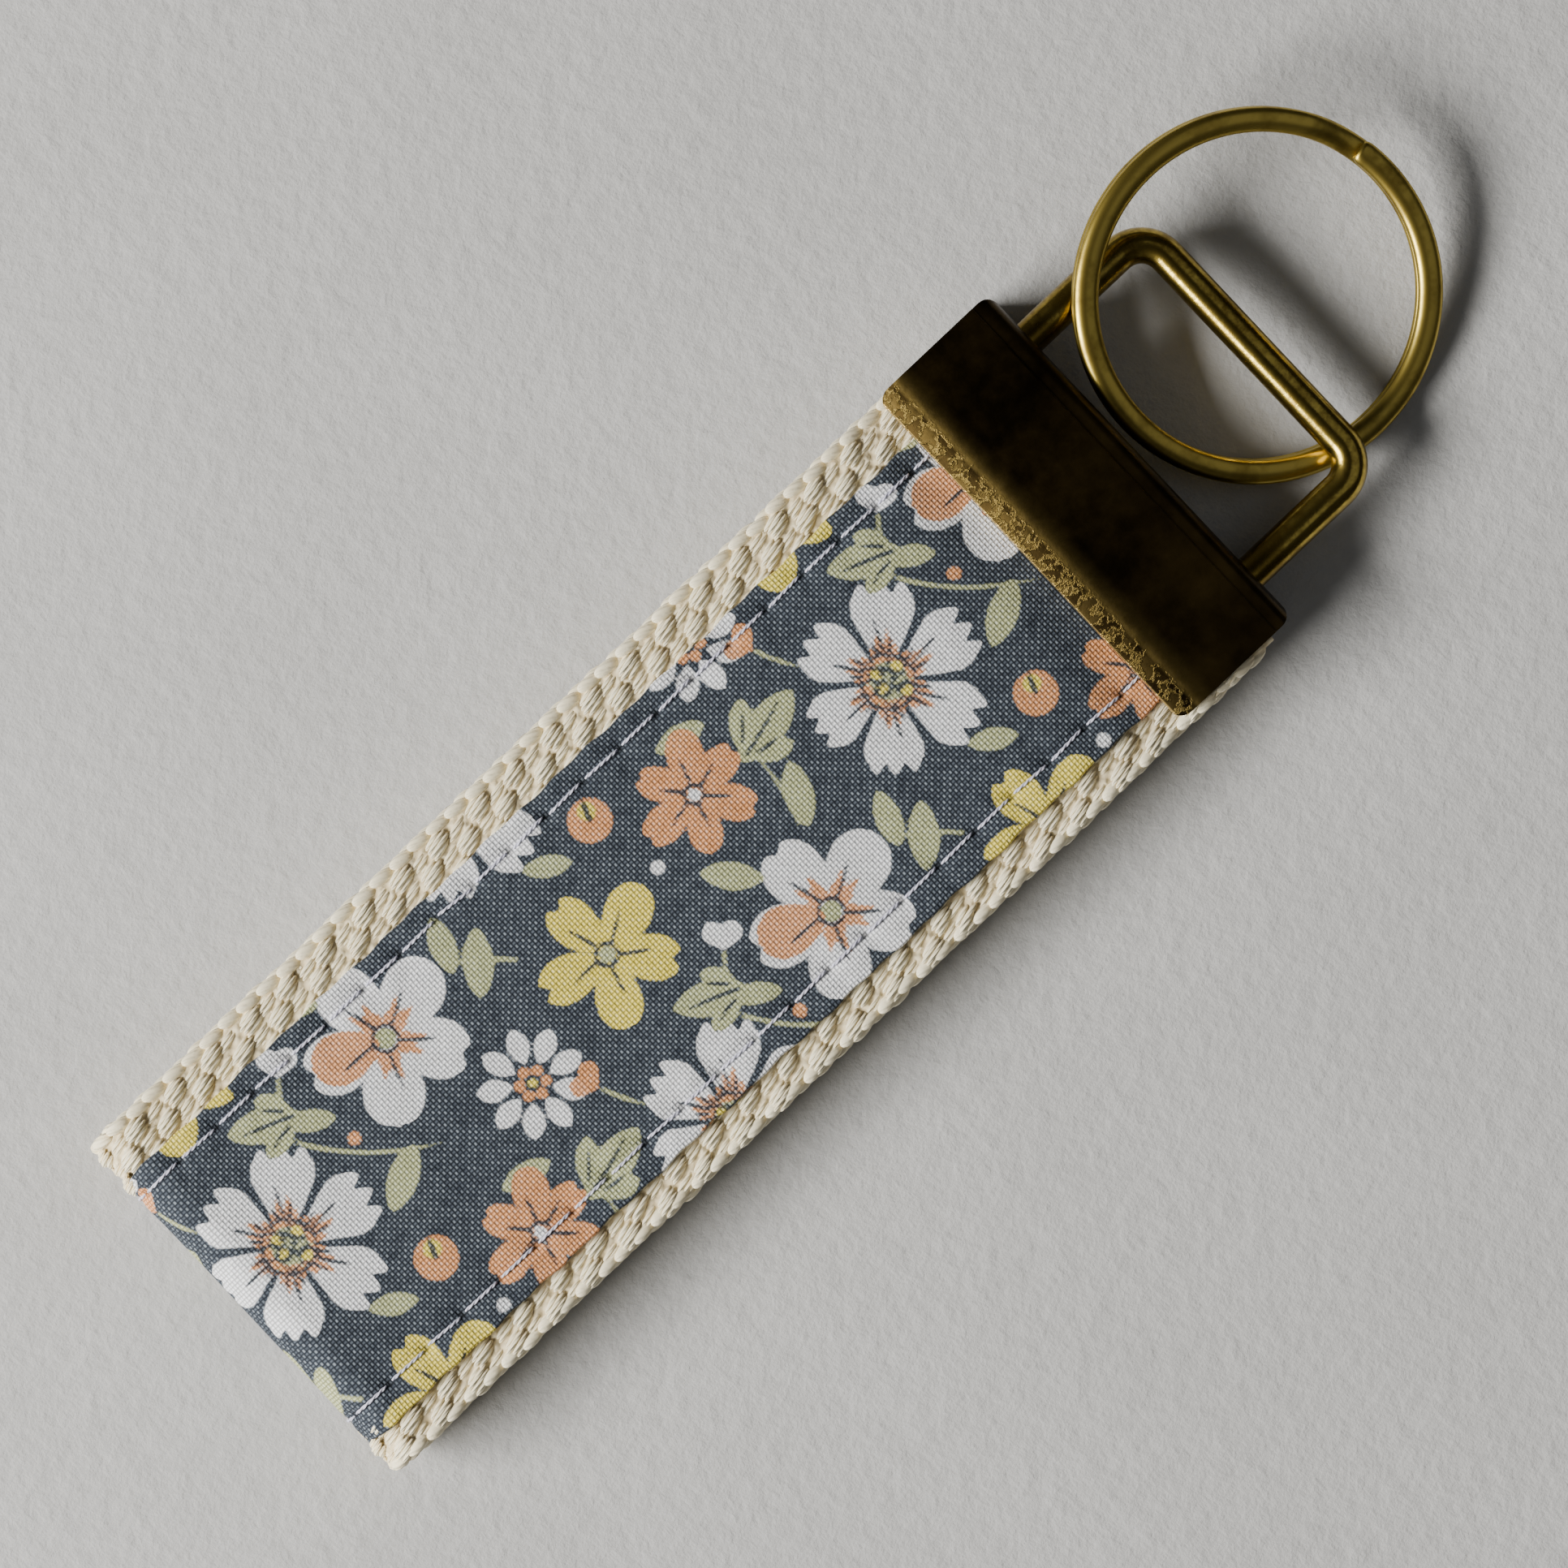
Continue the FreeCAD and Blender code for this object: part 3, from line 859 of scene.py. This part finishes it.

# %% [markdown]
# The weave is worked out from the flat cloth's own coordinates. Two sine waves make the grid of
# threads, and their product says which thread passes over at each crossing, as on a chessboard. The
# same height makes the bump, paints shade into the gaps between threads and a highlight on the thread
# tops, and moves the printed edges by a fraction of a thread, so a petal's outline steps from thread
# to thread as real ink does. A painted shadow darkens the cloth round each stitch hole.

# %% Printed cotton material
def printed_material():
    """The inks in the order of printing, over a plain weave of blue threads."""
    material, shader, start = new_material("printed_cotton", Roughness=0.86, Specular_IOR_Level=0.25,
                                           Sheen_Weight=0.05, Sheen_Roughness=0.4)
    s, v = uv_pair(start, "flat")
    drift = noise(start, place(start), 160.0, 1.0) - 0.5
    thread = 0.30
    wave_s = ((s + drift * 0.25) * (math.pi / thread)).sin()
    wave_v = ((v + drift * 0.25) * (math.pi / thread)).sin()
    over = (wave_s * wave_v).above(0.0, 0.3)
    s_high, v_high = wave_s.abs(), wave_v.abs()
    along_warp = (s_high ** 0.35) * (v_high ** 0.95)
    along_weft = (s_high ** 0.95) * (v_high ** 0.35)
    height = along_warp + (along_weft - along_warp) * over
    slub = noise(start, place(start), 1500.0, 2.0)
    wander = (height - 0.5) * 0.10 + (slub - 0.5) * 0.22

    def ink(name, grow=0.0):
        """1 where the ink is, 0 where it isn't. It can be printed a little wider than drawn."""
        edge = attribute(start, name) + wander * (0.3 if name == "line" else 1.0)
        return 1 - (edge - grow).above(0.0, 0.12)

    colour = ink("white", 0.04).mix((0.029, 0.037, 0.052), (0.94, 0.94, 0.95))
    colour = ink("sage").mix(colour, (0.52, 0.54, 0.27))
    colour = (ink("peach", 0.02) * 0.95).mix(colour, (0.86, 0.36, 0.13))
    colour = ink("yellow").mix(colour, (0.94, 0.76, 0.10))
    colour = (ink("line", 0.07) * 0.95).mix(colour, (0.026, 0.036, 0.050))
    # Painted highlight: the tops of the threads are lightened towards pale blue grey, broken up by slub
    # noise.
    thread_top_highlight = (height ** 1.7) * (0.30 + 0.70 * over) * slub.above(0.38, 0.4)
    colour = (thread_top_highlight * 0.37).mix(colour, (0.53, 0.61, 0.67))
    # Painted shadow round each stitch hole, and painted shade in the gaps between threads, times random
    # slub blotches.
    shadow = (1 - attribute(start, "holes").above(0.24, 0.30)) * 0.75
    shade = (0.38 + height * 0.82) * (0.95 + (slub - 0.5) * 0.5) * (1 - shadow)
    plug(shader, start, Base_Color=colour.scaled(shade), Normal=bump(start, height + slub * 0.5, 0.06))
    return material


printed_strip.data.materials.append(printed_material())

# %% [markdown]
# ## Topstitching
# A lockstitch shows as short dashes. Each dash is the needle thread lying on the cloth and diving
# into a hole at both ends, where the bobbin thread catches it. Sewing thread is two plies twisted
# together, so each dash here is two fine tubes that wind round each other. It is real geometry,
# because a painted line has no shadow and shows at once in a close view.

# %% Sew the rows
seam_margin = 1.5       # no stitch this near the raw ends


def sew(name, row, face_lift, direction, replaced):
    """A row of two-ply stitches on one face. direction is 1 on the outside and -1 inside the fold."""
    ply_radius, spread, sides, steps = 0.08, 0.055, 7, 19
    centres = (np.arange(stitch_count) + 0.5) * stitch_step
    centres = centres[(centres > seam_margin) & (centres < path_length - seam_margin)]
    t = np.linspace(-1, 1, steps)
    arch = np.sqrt(np.clip(1 - np.abs(t) ** 4, 0, 1))
    skew = rng.normal(0, 0.05, len(centres))
    points = []
    for ply in (0, 1):
        twist = t * 9.0 + ply * math.pi
        around = around_once(sides)
        fat = 0.55 + 0.45 * arch
        across = spread * np.cos(twist)[:, None] * fat[:, None] + ply_radius * np.cos(around)[None, :]
        up = spread * np.sin(twist)[:, None] + ply_radius * np.sin(around)[None, :]
        base = face_lift + direction * (0.46 * arch[:, None] - 0.45)
        s = centres[:, None, None] + (t * stitch_step * 0.45)[None, :, None]
        y = row + across[None] + skew[:, None, None] * t[None, :, None]
        points.append(wrap(s, y, (base + up)[None] + 0 * s).reshape(-1, 3))
    faces = grid_faces(2 * len(centres), steps, sides, wrap_cols=True)
    obj = new_mesh(name, np.concatenate(points), faces, STRAP)
    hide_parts(replaced)
    return obj


def thread_material():
    """Pale thread, a little violet in random blotches."""
    material, shader, start = new_material("sewing_thread", Roughness=0.55, Sheen_Weight=0.2)
    spot = noise(start, place(start), 2500.0, 3.0)
    colour = spot.mix((0.38, 0.37, 0.50), (0.80, 0.79, 0.88))
    plug(shader, start, Base_Color=colour, Normal=bump(start, spot, 0.03))
    return material


white_thread = thread_material()
for side, row in zip(("left", "right"), stitch_rows):
    needle = sew("needle_stitches_" + side, row, strip_thickness, 1, "needle_thread_" + side)
    bobbin = sew("bobbin_stitches_" + side, row, -web_thickness + 0.1, -1, "bobbin_thread_" + side)
    needle.data.materials.append(white_thread)
    bobbin.data.materials.append(white_thread)
print("stitches in each row:", stitch_count)

# %% [markdown]
# ## The end clamp
# The clamp is one stamped piece of brass, folded into a U with its lips bent in. Its section is drawn
# once with the real bend radii and pulled across the strap. The corners seen from above are
# rounded by a Boolean with a rounded block, and the drilled holes for the bail are cut in the same
# way. A small bevel along every sharp edge then catches the light, which is what makes
# stamped metal look like metal. Bevelling only by angle leaves the bends alone.

# %% Profile tools
clamp_wall = 0.8        # thickness of the brass
lip_length = 1.9
lip_drop = 0.75
crease = 0.14
wire_radius = 1.3
leg_spacing = 22.9      # between the bail's two legs
hole_radius = 1.4
tooth_count = 13
spine_x = clamp_high[0]
clamp_y = (clamp_low[1] + clamp_high[1]) / 2
clamp_half = (clamp_high[2] - clamp_low[2]) / 2


def rounded_outline(corners, steps=6):
    """A closed outline of (x, y, radius) corners, with an arc in place of each corner."""
    line = []
    for number, (x, y, radius) in enumerate(corners):
        here = Vector((x, y))
        before = (Vector(corners[number - 1][:2]) - here).normalized()
        after = (Vector(corners[(number + 1) % len(corners)][:2]) - here).normalized()
        half = before.angle(after) / 2
        centre = here + (before + after).normalized() * (radius / math.sin(half))
        start = here + before * (radius / math.tan(half)) - centre
        end = here + after * (radius / math.tan(half)) - centre
        sweep = start.angle_signed(end)
        for part in np.linspace(0, 1, steps):
            line.append(centre + Matrix.Rotation(-sweep * part, 2) @ start)
    return line


def prism(name, outline, axis, low, high):
    """A closed solid: an outline in the plane across the axis, pulled from low to high."""
    order = {"y": lambda p, d: (p[0], d, p[1]), "z": lambda p, d: (p[0], p[1], d)}[axis]
    points = [order(p, low) for p in outline] + [order(p, high) for p in outline]
    obj = new_object(name, points, tube_faces(2, len(outline)))
    face_outwards(obj)
    return obj


def carve(obj, tool, operation):
    """Cuts obj with a tool, keeps the result and throws the tool away."""
    modifier = obj.modifiers.new("carve", "BOOLEAN")
    modifier.operation = operation
    modifier.solver = "EXACT"
    modifier.object = tool
    bpy.context.view_layer.update()
    evaluated = obj.evaluated_get(bpy.context.evaluated_depsgraph_get())
    obj.data = bpy.data.meshes.new_from_object(evaluated)
    obj.modifiers.clear()
    bpy.data.objects.remove(tool)


def ease_edges(obj, width):
    """Bevels the sharp edges and smooths the rest."""
    sharpest, crisp = math.radians(35), math.radians(32)
    shape = bmesh.new()
    shape.from_mesh(obj.data)
    joins = [edge for edge in shape.edges if len(edge.link_faces) == 2]
    sharp = [edge for edge in joins if edge.calc_face_angle() > sharpest]
    bmesh.ops.bevel(shape, geom=sharp, offset=width * MM, segments=2, profile=0.6, affect="EDGES",
                    clamp_overlap=True)
    shape.to_mesh(obj.data)
    shape.free()
    obj.data.polygons.foreach_set("use_smooth", [True] * len(obj.data.polygons))
    obj.data.set_sharp_from_angle(angle=crisp)


print("spine at", spine_x, "mouth at", mouth_x)

# %% Stamp the clamp
def clamp_outline():
    """The corners of the U in the XZ plane, each with the radius of its bend."""
    slope = math.atan2(lip_drop, lip_length)
    inner = clamp_half - clamp_wall
    bend = mouth_x + lip_length
    edge_x = mouth_x + clamp_wall * math.sin(slope)
    edge_z = clamp_half - lip_drop - clamp_wall * math.cos(slope)
    back = spine_x - clamp_wall
    upper = [
        (edge_x, edge_z, 0.15), (mouth_x, clamp_half - lip_drop, 0.22), (bend, clamp_half, 4.0),
        (spine_x - 1.72, clamp_half, 0.10), (spine_x - 1.60, clamp_half - crease, 0.05),
        (spine_x, clamp_half - crease, 1.3),
    ]
    inside = [(back, inner, 0.6), (bend + 0.15, inner, 0.5)]
    lower = [(x, -z, r) for x, z, r in upper[::-1]]
    inside_lower = [(x, -z, r) for x, z, r in inside[::-1]]
    return [(x, mid_z + z, r) for x, z, r in upper + lower + inside_lower + inside]


def make_clamp():
    """The U with rounded corners, two drilled holes and eased edges."""
    half = (clamp_high[1] - clamp_low[1]) / 2
    clamp = prism("brass_end_clamp", rounded_outline(clamp_outline()), "y", clamp_y - half, clamp_y + half)
    corners = [(mouth_x, -half), (spine_x, -half), (spine_x, half), (mouth_x, half)]
    plan = rounded_outline([(x, clamp_y + y, 1.05) for x, y in corners], 8)
    carve(clamp, prism("plan", plan, "z", -1.0, 9.0), "INTERSECT")
    through = Matrix(((0, 0, 1, (spine_x - 2) * MM), (1, 0, 0, 0), (0, 1, 0, 0), (0, 0, 0, 1)))
    for side in (1, -1):
        leg = (clamp_y + side * leg_spacing / 2, mid_z)
        circle = [polar(leg, hole_radius, a) for a in np.linspace(0, FULL_TURN, 33)[:-1]]
        hole = prism("hole", circle, "z", 0.0, 4.0)
        hole.matrix_world = through
        carve(clamp, hole, "DIFFERENCE")
    ease_edges(clamp, 0.10)
    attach(clamp, STRAP)
    return clamp


def make_teeth():
    """Triangular teeth inside both lips, bent down into the cloth."""
    slope = math.atan2(lip_drop, lip_length)
    lip_z = clamp_half - lip_drop - clamp_wall * math.cos(slope)
    x = mouth_x + clamp_wall * math.sin(slope) + 0.1
    tooth = ((-0.75, 0.15), (0.75, 0.15), (0.12, -0.6), (-0.12, -0.6))
    quads = [(0, 1, 2, 3), (7, 6, 5, 4), (0, 4, 5, 1), (1, 5, 6, 2), (2, 6, 7, 3), (3, 7, 4, 0)]
    points, faces = [], []
    for sign in (1, -1):
        for y in np.linspace(clamp_low[1] + 1.5, clamp_high[1] - 1.5, tooth_count):
            faces += [[len(points) + k for k in quad] for quad in quads]
            for back in (0.0, 0.7):
                points += [(x + back, y + across, mid_z + sign * (lip_z + up)) for across, up in tooth]
    return new_mesh("clamp_teeth", points, faces, STRAP, smooth=False)


clamp = make_clamp()
teeth = make_teeth()
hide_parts("end_clamp")
print("clamp faces:", len(clamp.data.polygons))

# %% [markdown]
# ## Bail and split ring
# Both are bent wires, so both are a section swept along a line. The bail's line is two straight legs
# and two quarter turns. A peened foot holds each leg inside the spine. The split ring's line is two
# turns of a flat circle with a short step between them, and it ends beside that step on both sides.
# A torus couldn't show the gap between the coils or the cut end, where a key is put on.

# %% Bend the bail
def sweep(points, directions, sections):
    """Ribs along a line in space: one section of (side, up) numbers for each of its points."""
    directions = directions / np.linalg.norm(directions, axis=1)[:, None]
    up = np.array([0.0, 0.0, 1.0])
    side = np.cross(up, directions)
    side /= np.linalg.norm(side, axis=1)[:, None]
    return points[:, None] + side[:, None] * sections[..., 0:1] + up * sections[..., 1:2]


def new_tube(name, ribs, body):
    """A closed tube from a row of ribs, riding on a body of the CAD model."""
    obj = new_object(name, ribs.reshape(-1, 3), tube_faces(*ribs.shape[:2]))
    face_outwards(obj)
    smooth_sides(obj)
    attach(obj, body)
    return obj


def bail_line():
    """Points of the bail's axis, the direction at each, and the wire's radius there."""
    low, high = node_box("wire_bail")
    cross_x = high[0] - wire_radius
    bend = 2.5
    start = low[0]
    half = leg_spacing / 2
    leg = [(start, 0), (start + 0.06, 0), (start + 0.62, 0), (start + 0.7, 0)]
    leg += [(x, 0) for x in np.linspace(start + 0.75, cross_x - bend, 26)]
    turn = [(cross_x - bend + bend * math.sin(a), bend * (1 - math.cos(a)))
            for a in np.linspace(0, math.pi / 2, 15)[1:]]
    first = np.array([(x, clamp_y - half + y, mid_z) for x, y in leg + turn])
    crossbar = np.linspace(clamp_y - half + bend, clamp_y + half - bend, 20)[1:-1]
    straight = [(cross_x, y, mid_z) for y in crossbar]
    last = first[::-1] * (1, -1, 1) + (0, 2 * clamp_y, 0)
    line = np.concatenate([first, straight, last])
    radius = np.full(len(line), wire_radius)
    for k, foot in enumerate((1.72, 1.8, 1.8, 1.72)):
        radius[k] = foot
        radius[-1 - k] = foot
    return line, np.gradient(line, axis=0), radius


def make_bail():
    """Round wire along the bail's line, with a crisp edge at each foot."""
    line, direction, radius = bail_line()
    around = around_once(28)
    sections = np.stack([np.cos(around), np.sin(around)], axis=-1)[None] * radius[:, None, None]
    obj = new_tube("wire_bail_loop", sweep(line, direction, sections), STRAP)
    obj.data.set_sharp_from_angle(angle=math.radians(50))
    return obj


bail = make_bail()
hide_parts("wire_bail")
print("bail faces:", len(bail.data.polygons))

# %% Coil the split ring
ring_radius = 13.4
ring_width = 1.8
coil_height = 0.75
coil_gap = 0.04
ring_tilt = math.radians(13.0)
ring_heading = math.radians(90.0)
cut_end = math.radians(-77.0)
cut_gap = math.radians(1.0)
step_angle = math.radians(20.0)
ring_ribs = 560


def coil_section():
    """The wire's section: half round on top, nearly flat below."""
    half_w, half_h, crown, r = ring_width / 2, coil_height / 2, 0.52, 0.13
    base = half_h - crown
    loop = [(half_w * math.cos(a), base + crown * math.sin(a)) for a in np.linspace(0, math.pi, 15)]
    for cx, first in ((-1, math.pi), (1, 1.5 * math.pi)):
        for a in np.linspace(first, first + math.pi / 2, 4):
            loop.append((cx * (half_w - r) + r * math.cos(a), r - half_h + r * math.sin(a)))
    return np.array(loop)


def make_ring():
    """Two coils in one wire, tilted to rest on the bail. The wire gets thinner at its cut ends."""
    low, high = node_box("split_ring")
    rise = (coil_height + coil_gap) / 2
    top = cut_end + cut_gap + step_angle
    angle = np.linspace(cut_end + FULL_TURN, top + cut_gap - FULL_TURN, ring_ribs)
    part = np.clip((top - angle) / step_angle, 0, 1)
    height = rise * np.cos(math.pi * part)
    loop = coil_section()
    reach = ring_radius - ring_width / 2
    from_end = np.minimum(np.arange(ring_ribs), np.arange(ring_ribs)[::-1])
    shrink = np.array([0.80, 0.95, 1.0])[np.minimum(from_end, 2)]
    radial = reach + loop[None, :, 0] * shrink[:, None]
    up = height[:, None] + loop[None, :, 1] * shrink[:, None]
    flat = np.stack([radial * np.cos(angle)[:, None], radial * np.sin(angle)[:, None], up], axis=-1)
    turn = Matrix.Rotation(ring_heading, 3, "Z") @ Matrix.Rotation(-ring_tilt, 3, "Y")
    points = flat.reshape(-1, 3) @ np.array(turn).T + (low + high) / 2
    return new_tube("split_key_ring", points.reshape(flat.shape), RING)


ring = make_ring()
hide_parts("split_ring")
print("ring faces:", len(ring.data.polygons))

# %% [markdown]
# ## Brass, old and bright
# Antique brass is plated brass that has been darkened and then rubbed, so it is nearly black on the
# flats and golden where hands and cloth rub it. The clamp's lips are rubbed most. A mask from the
# position along the strap finds them. Noise breaks it into flakes, and into fine cracks where the
# noise crosses its middle. The lips, except their rims, are then darkened as painted shade. Past the
# bend a golden band fades into the dark face: it is partly rubbed metal and partly a painted
# reflection of the window. Wire is brighter all over, and the bail is more tarnished and uneven than
# the ring. Metal shows mostly what it reflects, so the roughness varies too: an even roughness looks
# like plastic.

# %% Brass materials
def aged_brass():
    """Dark patina, rubbed down to the metal along the mouth of the clamp. The lips also get painted shade,
    and past the bend there is a painted reflection.
    """
    material, shader, start = new_material("aged_brass", Metallic=1.0)
    spot = place(start)
    x = spot.part(0) / MM
    broad = noise(start, spot, 170.0, 3.0, 0.6)
    coarse = noise(start, spot, 900.0, 4.0, 0.62)
    fine = noise(start, spot, 3000.0, 3.0, 0.6)
    bend = mouth_x + lip_length
    lip = 1 - x.above(bend - 0.25, 0.35)
    rim = 1 - x.above(mouth_x + 0.14, 0.10)
    flakes = (coarse * 0.7 + fine * 0.3).above(0.52, 0.08)
    # Painted reflection of the window past the bend, partly rubbed metal too, fading into the dark face.
    bend_wear_and_reflection = (1 - (x - bend + 0.3) / 1.9).clamp() ** 1.5
    cracks = 1 - ((coarse - 0.5).abs() * 18.0).clamp()
    # The mask of bright metal: real wear on the lip and rim, and the painted reflection past the bend.
    rubbed = (lip * (0.10 * flakes + 0.50 * cracks) + (1 - lip) * bend_wear_and_reflection * 0.46 + rim).clamp()
    dark = (broad.above(0.52, 0.35) * 0.8 + (coarse - 0.5) * 0.5).clamp().mix(
        (0.020, 0.013, 0.005), (0.085, 0.055, 0.016))
    bright = (fine * 0.4 + rim * 0.6).clamp().mix((0.34, 0.24, 0.045), (0.86, 0.62, 0.28))
    # Painted shade: the lips, except their rims, are darkened.
    brass = rubbed.mix(dark, bright).scaled(1 - lip * (1 - rim) * 0.62)
    roughness = 0.26 + coarse * 0.16 + lip * 0.10 * (1 - rim)
    plug(shader, start, Base_Color=brass, Roughness=roughness,
         Normal=bump(start, coarse + lip * cracks, 0.022))
    return material


def wire_brass(name, tarnish_edge, grit, roughness, relief, grime=0.0):
    """Brass wire: olive gold, with brown tarnish where the noise is above the edge, most by the clamp."""
    material, shader, start = new_material(name, Metallic=1.0)
    spot = place(start)
    coarse = noise(start, spot, 330.0, 3.0, 0.6)
    fine = noise(start, spot, 2200.0, 3.0, 0.6)
    x = spot.part(0) / MM
    near = (1 - (x - spine_x) / 6.0).clamp() * grime
    tarnish = (coarse * (1 - grit) + fine * grit + near).above(tarnish_edge, 0.24)
    colour = tarnish.mix((0.52, 0.39, 0.085), (0.20, 0.135, 0.027))
    plug(shader, start, Base_Color=colour, Roughness=roughness + fine * grit * 0.14 + tarnish * 0.08,
         Normal=bump(start, fine + coarse, relief))
    return material


old_brass = aged_brass()
clamp.data.materials.append(old_brass)
teeth.data.materials.append(old_brass)
bail.data.materials.append(wire_brass("bail_brass", 0.50, 0.45, 0.15, 0.010, 0.14))
ring.data.materials.append(wire_brass("ring_brass", 0.60, 0.15, 0.30, 0.002))
print("materials:", len(bpy.data.materials))

# %% [markdown]
# ## Table, light and camera
# The fob lies on a plain pale table. One large soft light stands low beyond the folded end, like a
# window: it rakes over the yarns and stitches and throws soft shadows towards the ring. The sky is
# darker overhead than at the horizon, so that the brass has something to reflect. The camera looks
# straight down with a long lens, turned so that the strap climbs to the upper right.

# %% Table
def make_table():
    """A wide plain floor just under the fob."""
    bpy.ops.mesh.primitive_plane_add(size=3.0, location=(0, 0, -0.00002))
    table = bpy.context.object
    table.name = "table"
    material, shader, start = new_material("pale_table", Roughness=0.85, Specular_IOR_Level=0.2)
    spot = place(start)
    cloudy = noise(start, spot, 45.0, 4.0, 0.6)
    grit = noise(start, spot, 620.0, 4.0, 0.65)
    colour = (cloudy * 0.6 + grit * 0.4).mix((0.40, 0.395, 0.38), (0.62, 0.615, 0.60))
    plug(shader, start, Base_Color=colour, Normal=bump(start, grit, 0.18))
    table.data.materials.append(material)


make_table()
print("staged: table")


# %% Lights
def soft_light(name, bearing, height, distance, size, power, colour):
    """An area light that looks at the fob from a bearing in degrees, at a height in degrees."""
    data = bpy.data.lights.new(name, "AREA")
    data.shape = "RECTANGLE"
    data.size, data.size_y = size
    data.energy = power
    data.color = colour
    light = bpy.data.objects.new(name, data)
    turn, lift = math.radians(bearing), math.radians(height)
    level = distance * math.cos(lift)
    light.location = (level * math.cos(turn), level * math.sin(turn), distance * math.sin(lift))
    light.rotation_euler = (-Vector(light.location)).to_track_quat("-Z", "Y").to_euler()
    bpy.context.scene.collection.objects.link(light)


window_bearing = 157.0
soft_light("window", window_bearing, 31.0, 0.8, (0.54, 0.26), 17.4, (1.0, 0.985, 0.96))
soft_light("fill", -30.0, 55.0, 0.9, (0.8, 0.8), 0.5, (0.94, 0.97, 1.0))

world = bpy.data.worlds.new("studio")
world.use_nodes = True
sky = Socket(world.node_tree, None)
background = world.node_tree.nodes["Background"]
direction = sky.node("ShaderNodeTexCoord", {}, {}, "Generated")
east, north, elevation = [direction.part(k) for k in range(3)]
turn = math.radians(window_bearing)
towards = east * math.cos(turn) + north * math.sin(turn)
bright_side = ((towards * 0.5 + 0.5) ** 3.0) * (1 - elevation.above(0.82, 0.36))
sky_colour = bright_side.mix((0.05, 0.05, 0.053), (1.0, 0.98, 0.95))
world.node_tree.links.new(sky_colour.output, background.inputs["Color"])
background.inputs["Strength"].default_value = 0.33
bpy.context.scene.world = world
print("window at", window_bearing, "degrees")

# %% Camera
strap_angle = math.radians(43.3)
view_width = 110.4
camera_height = 420.0
look_at = (-3.9, 0.8)
sensor_width = 36.0
strap_level = mid_z * 1.8       # the height at which the view is view_width wide

camera_data = bpy.data.cameras.new("camera")
camera_data.sensor_width = sensor_width
camera_data.lens = sensor_width * (camera_height - strap_level) / view_width
camera = bpy.data.objects.new("camera", camera_data)
camera.location = (look_at[0] * MM, look_at[1] * MM, camera_height * MM)
camera.rotation_euler = (0.0, 0.0, -strap_angle)
bpy.context.scene.collection.objects.link(camera)
bpy.context.scene.camera = camera
print(f"lens {camera_data.lens:.1f} mm")
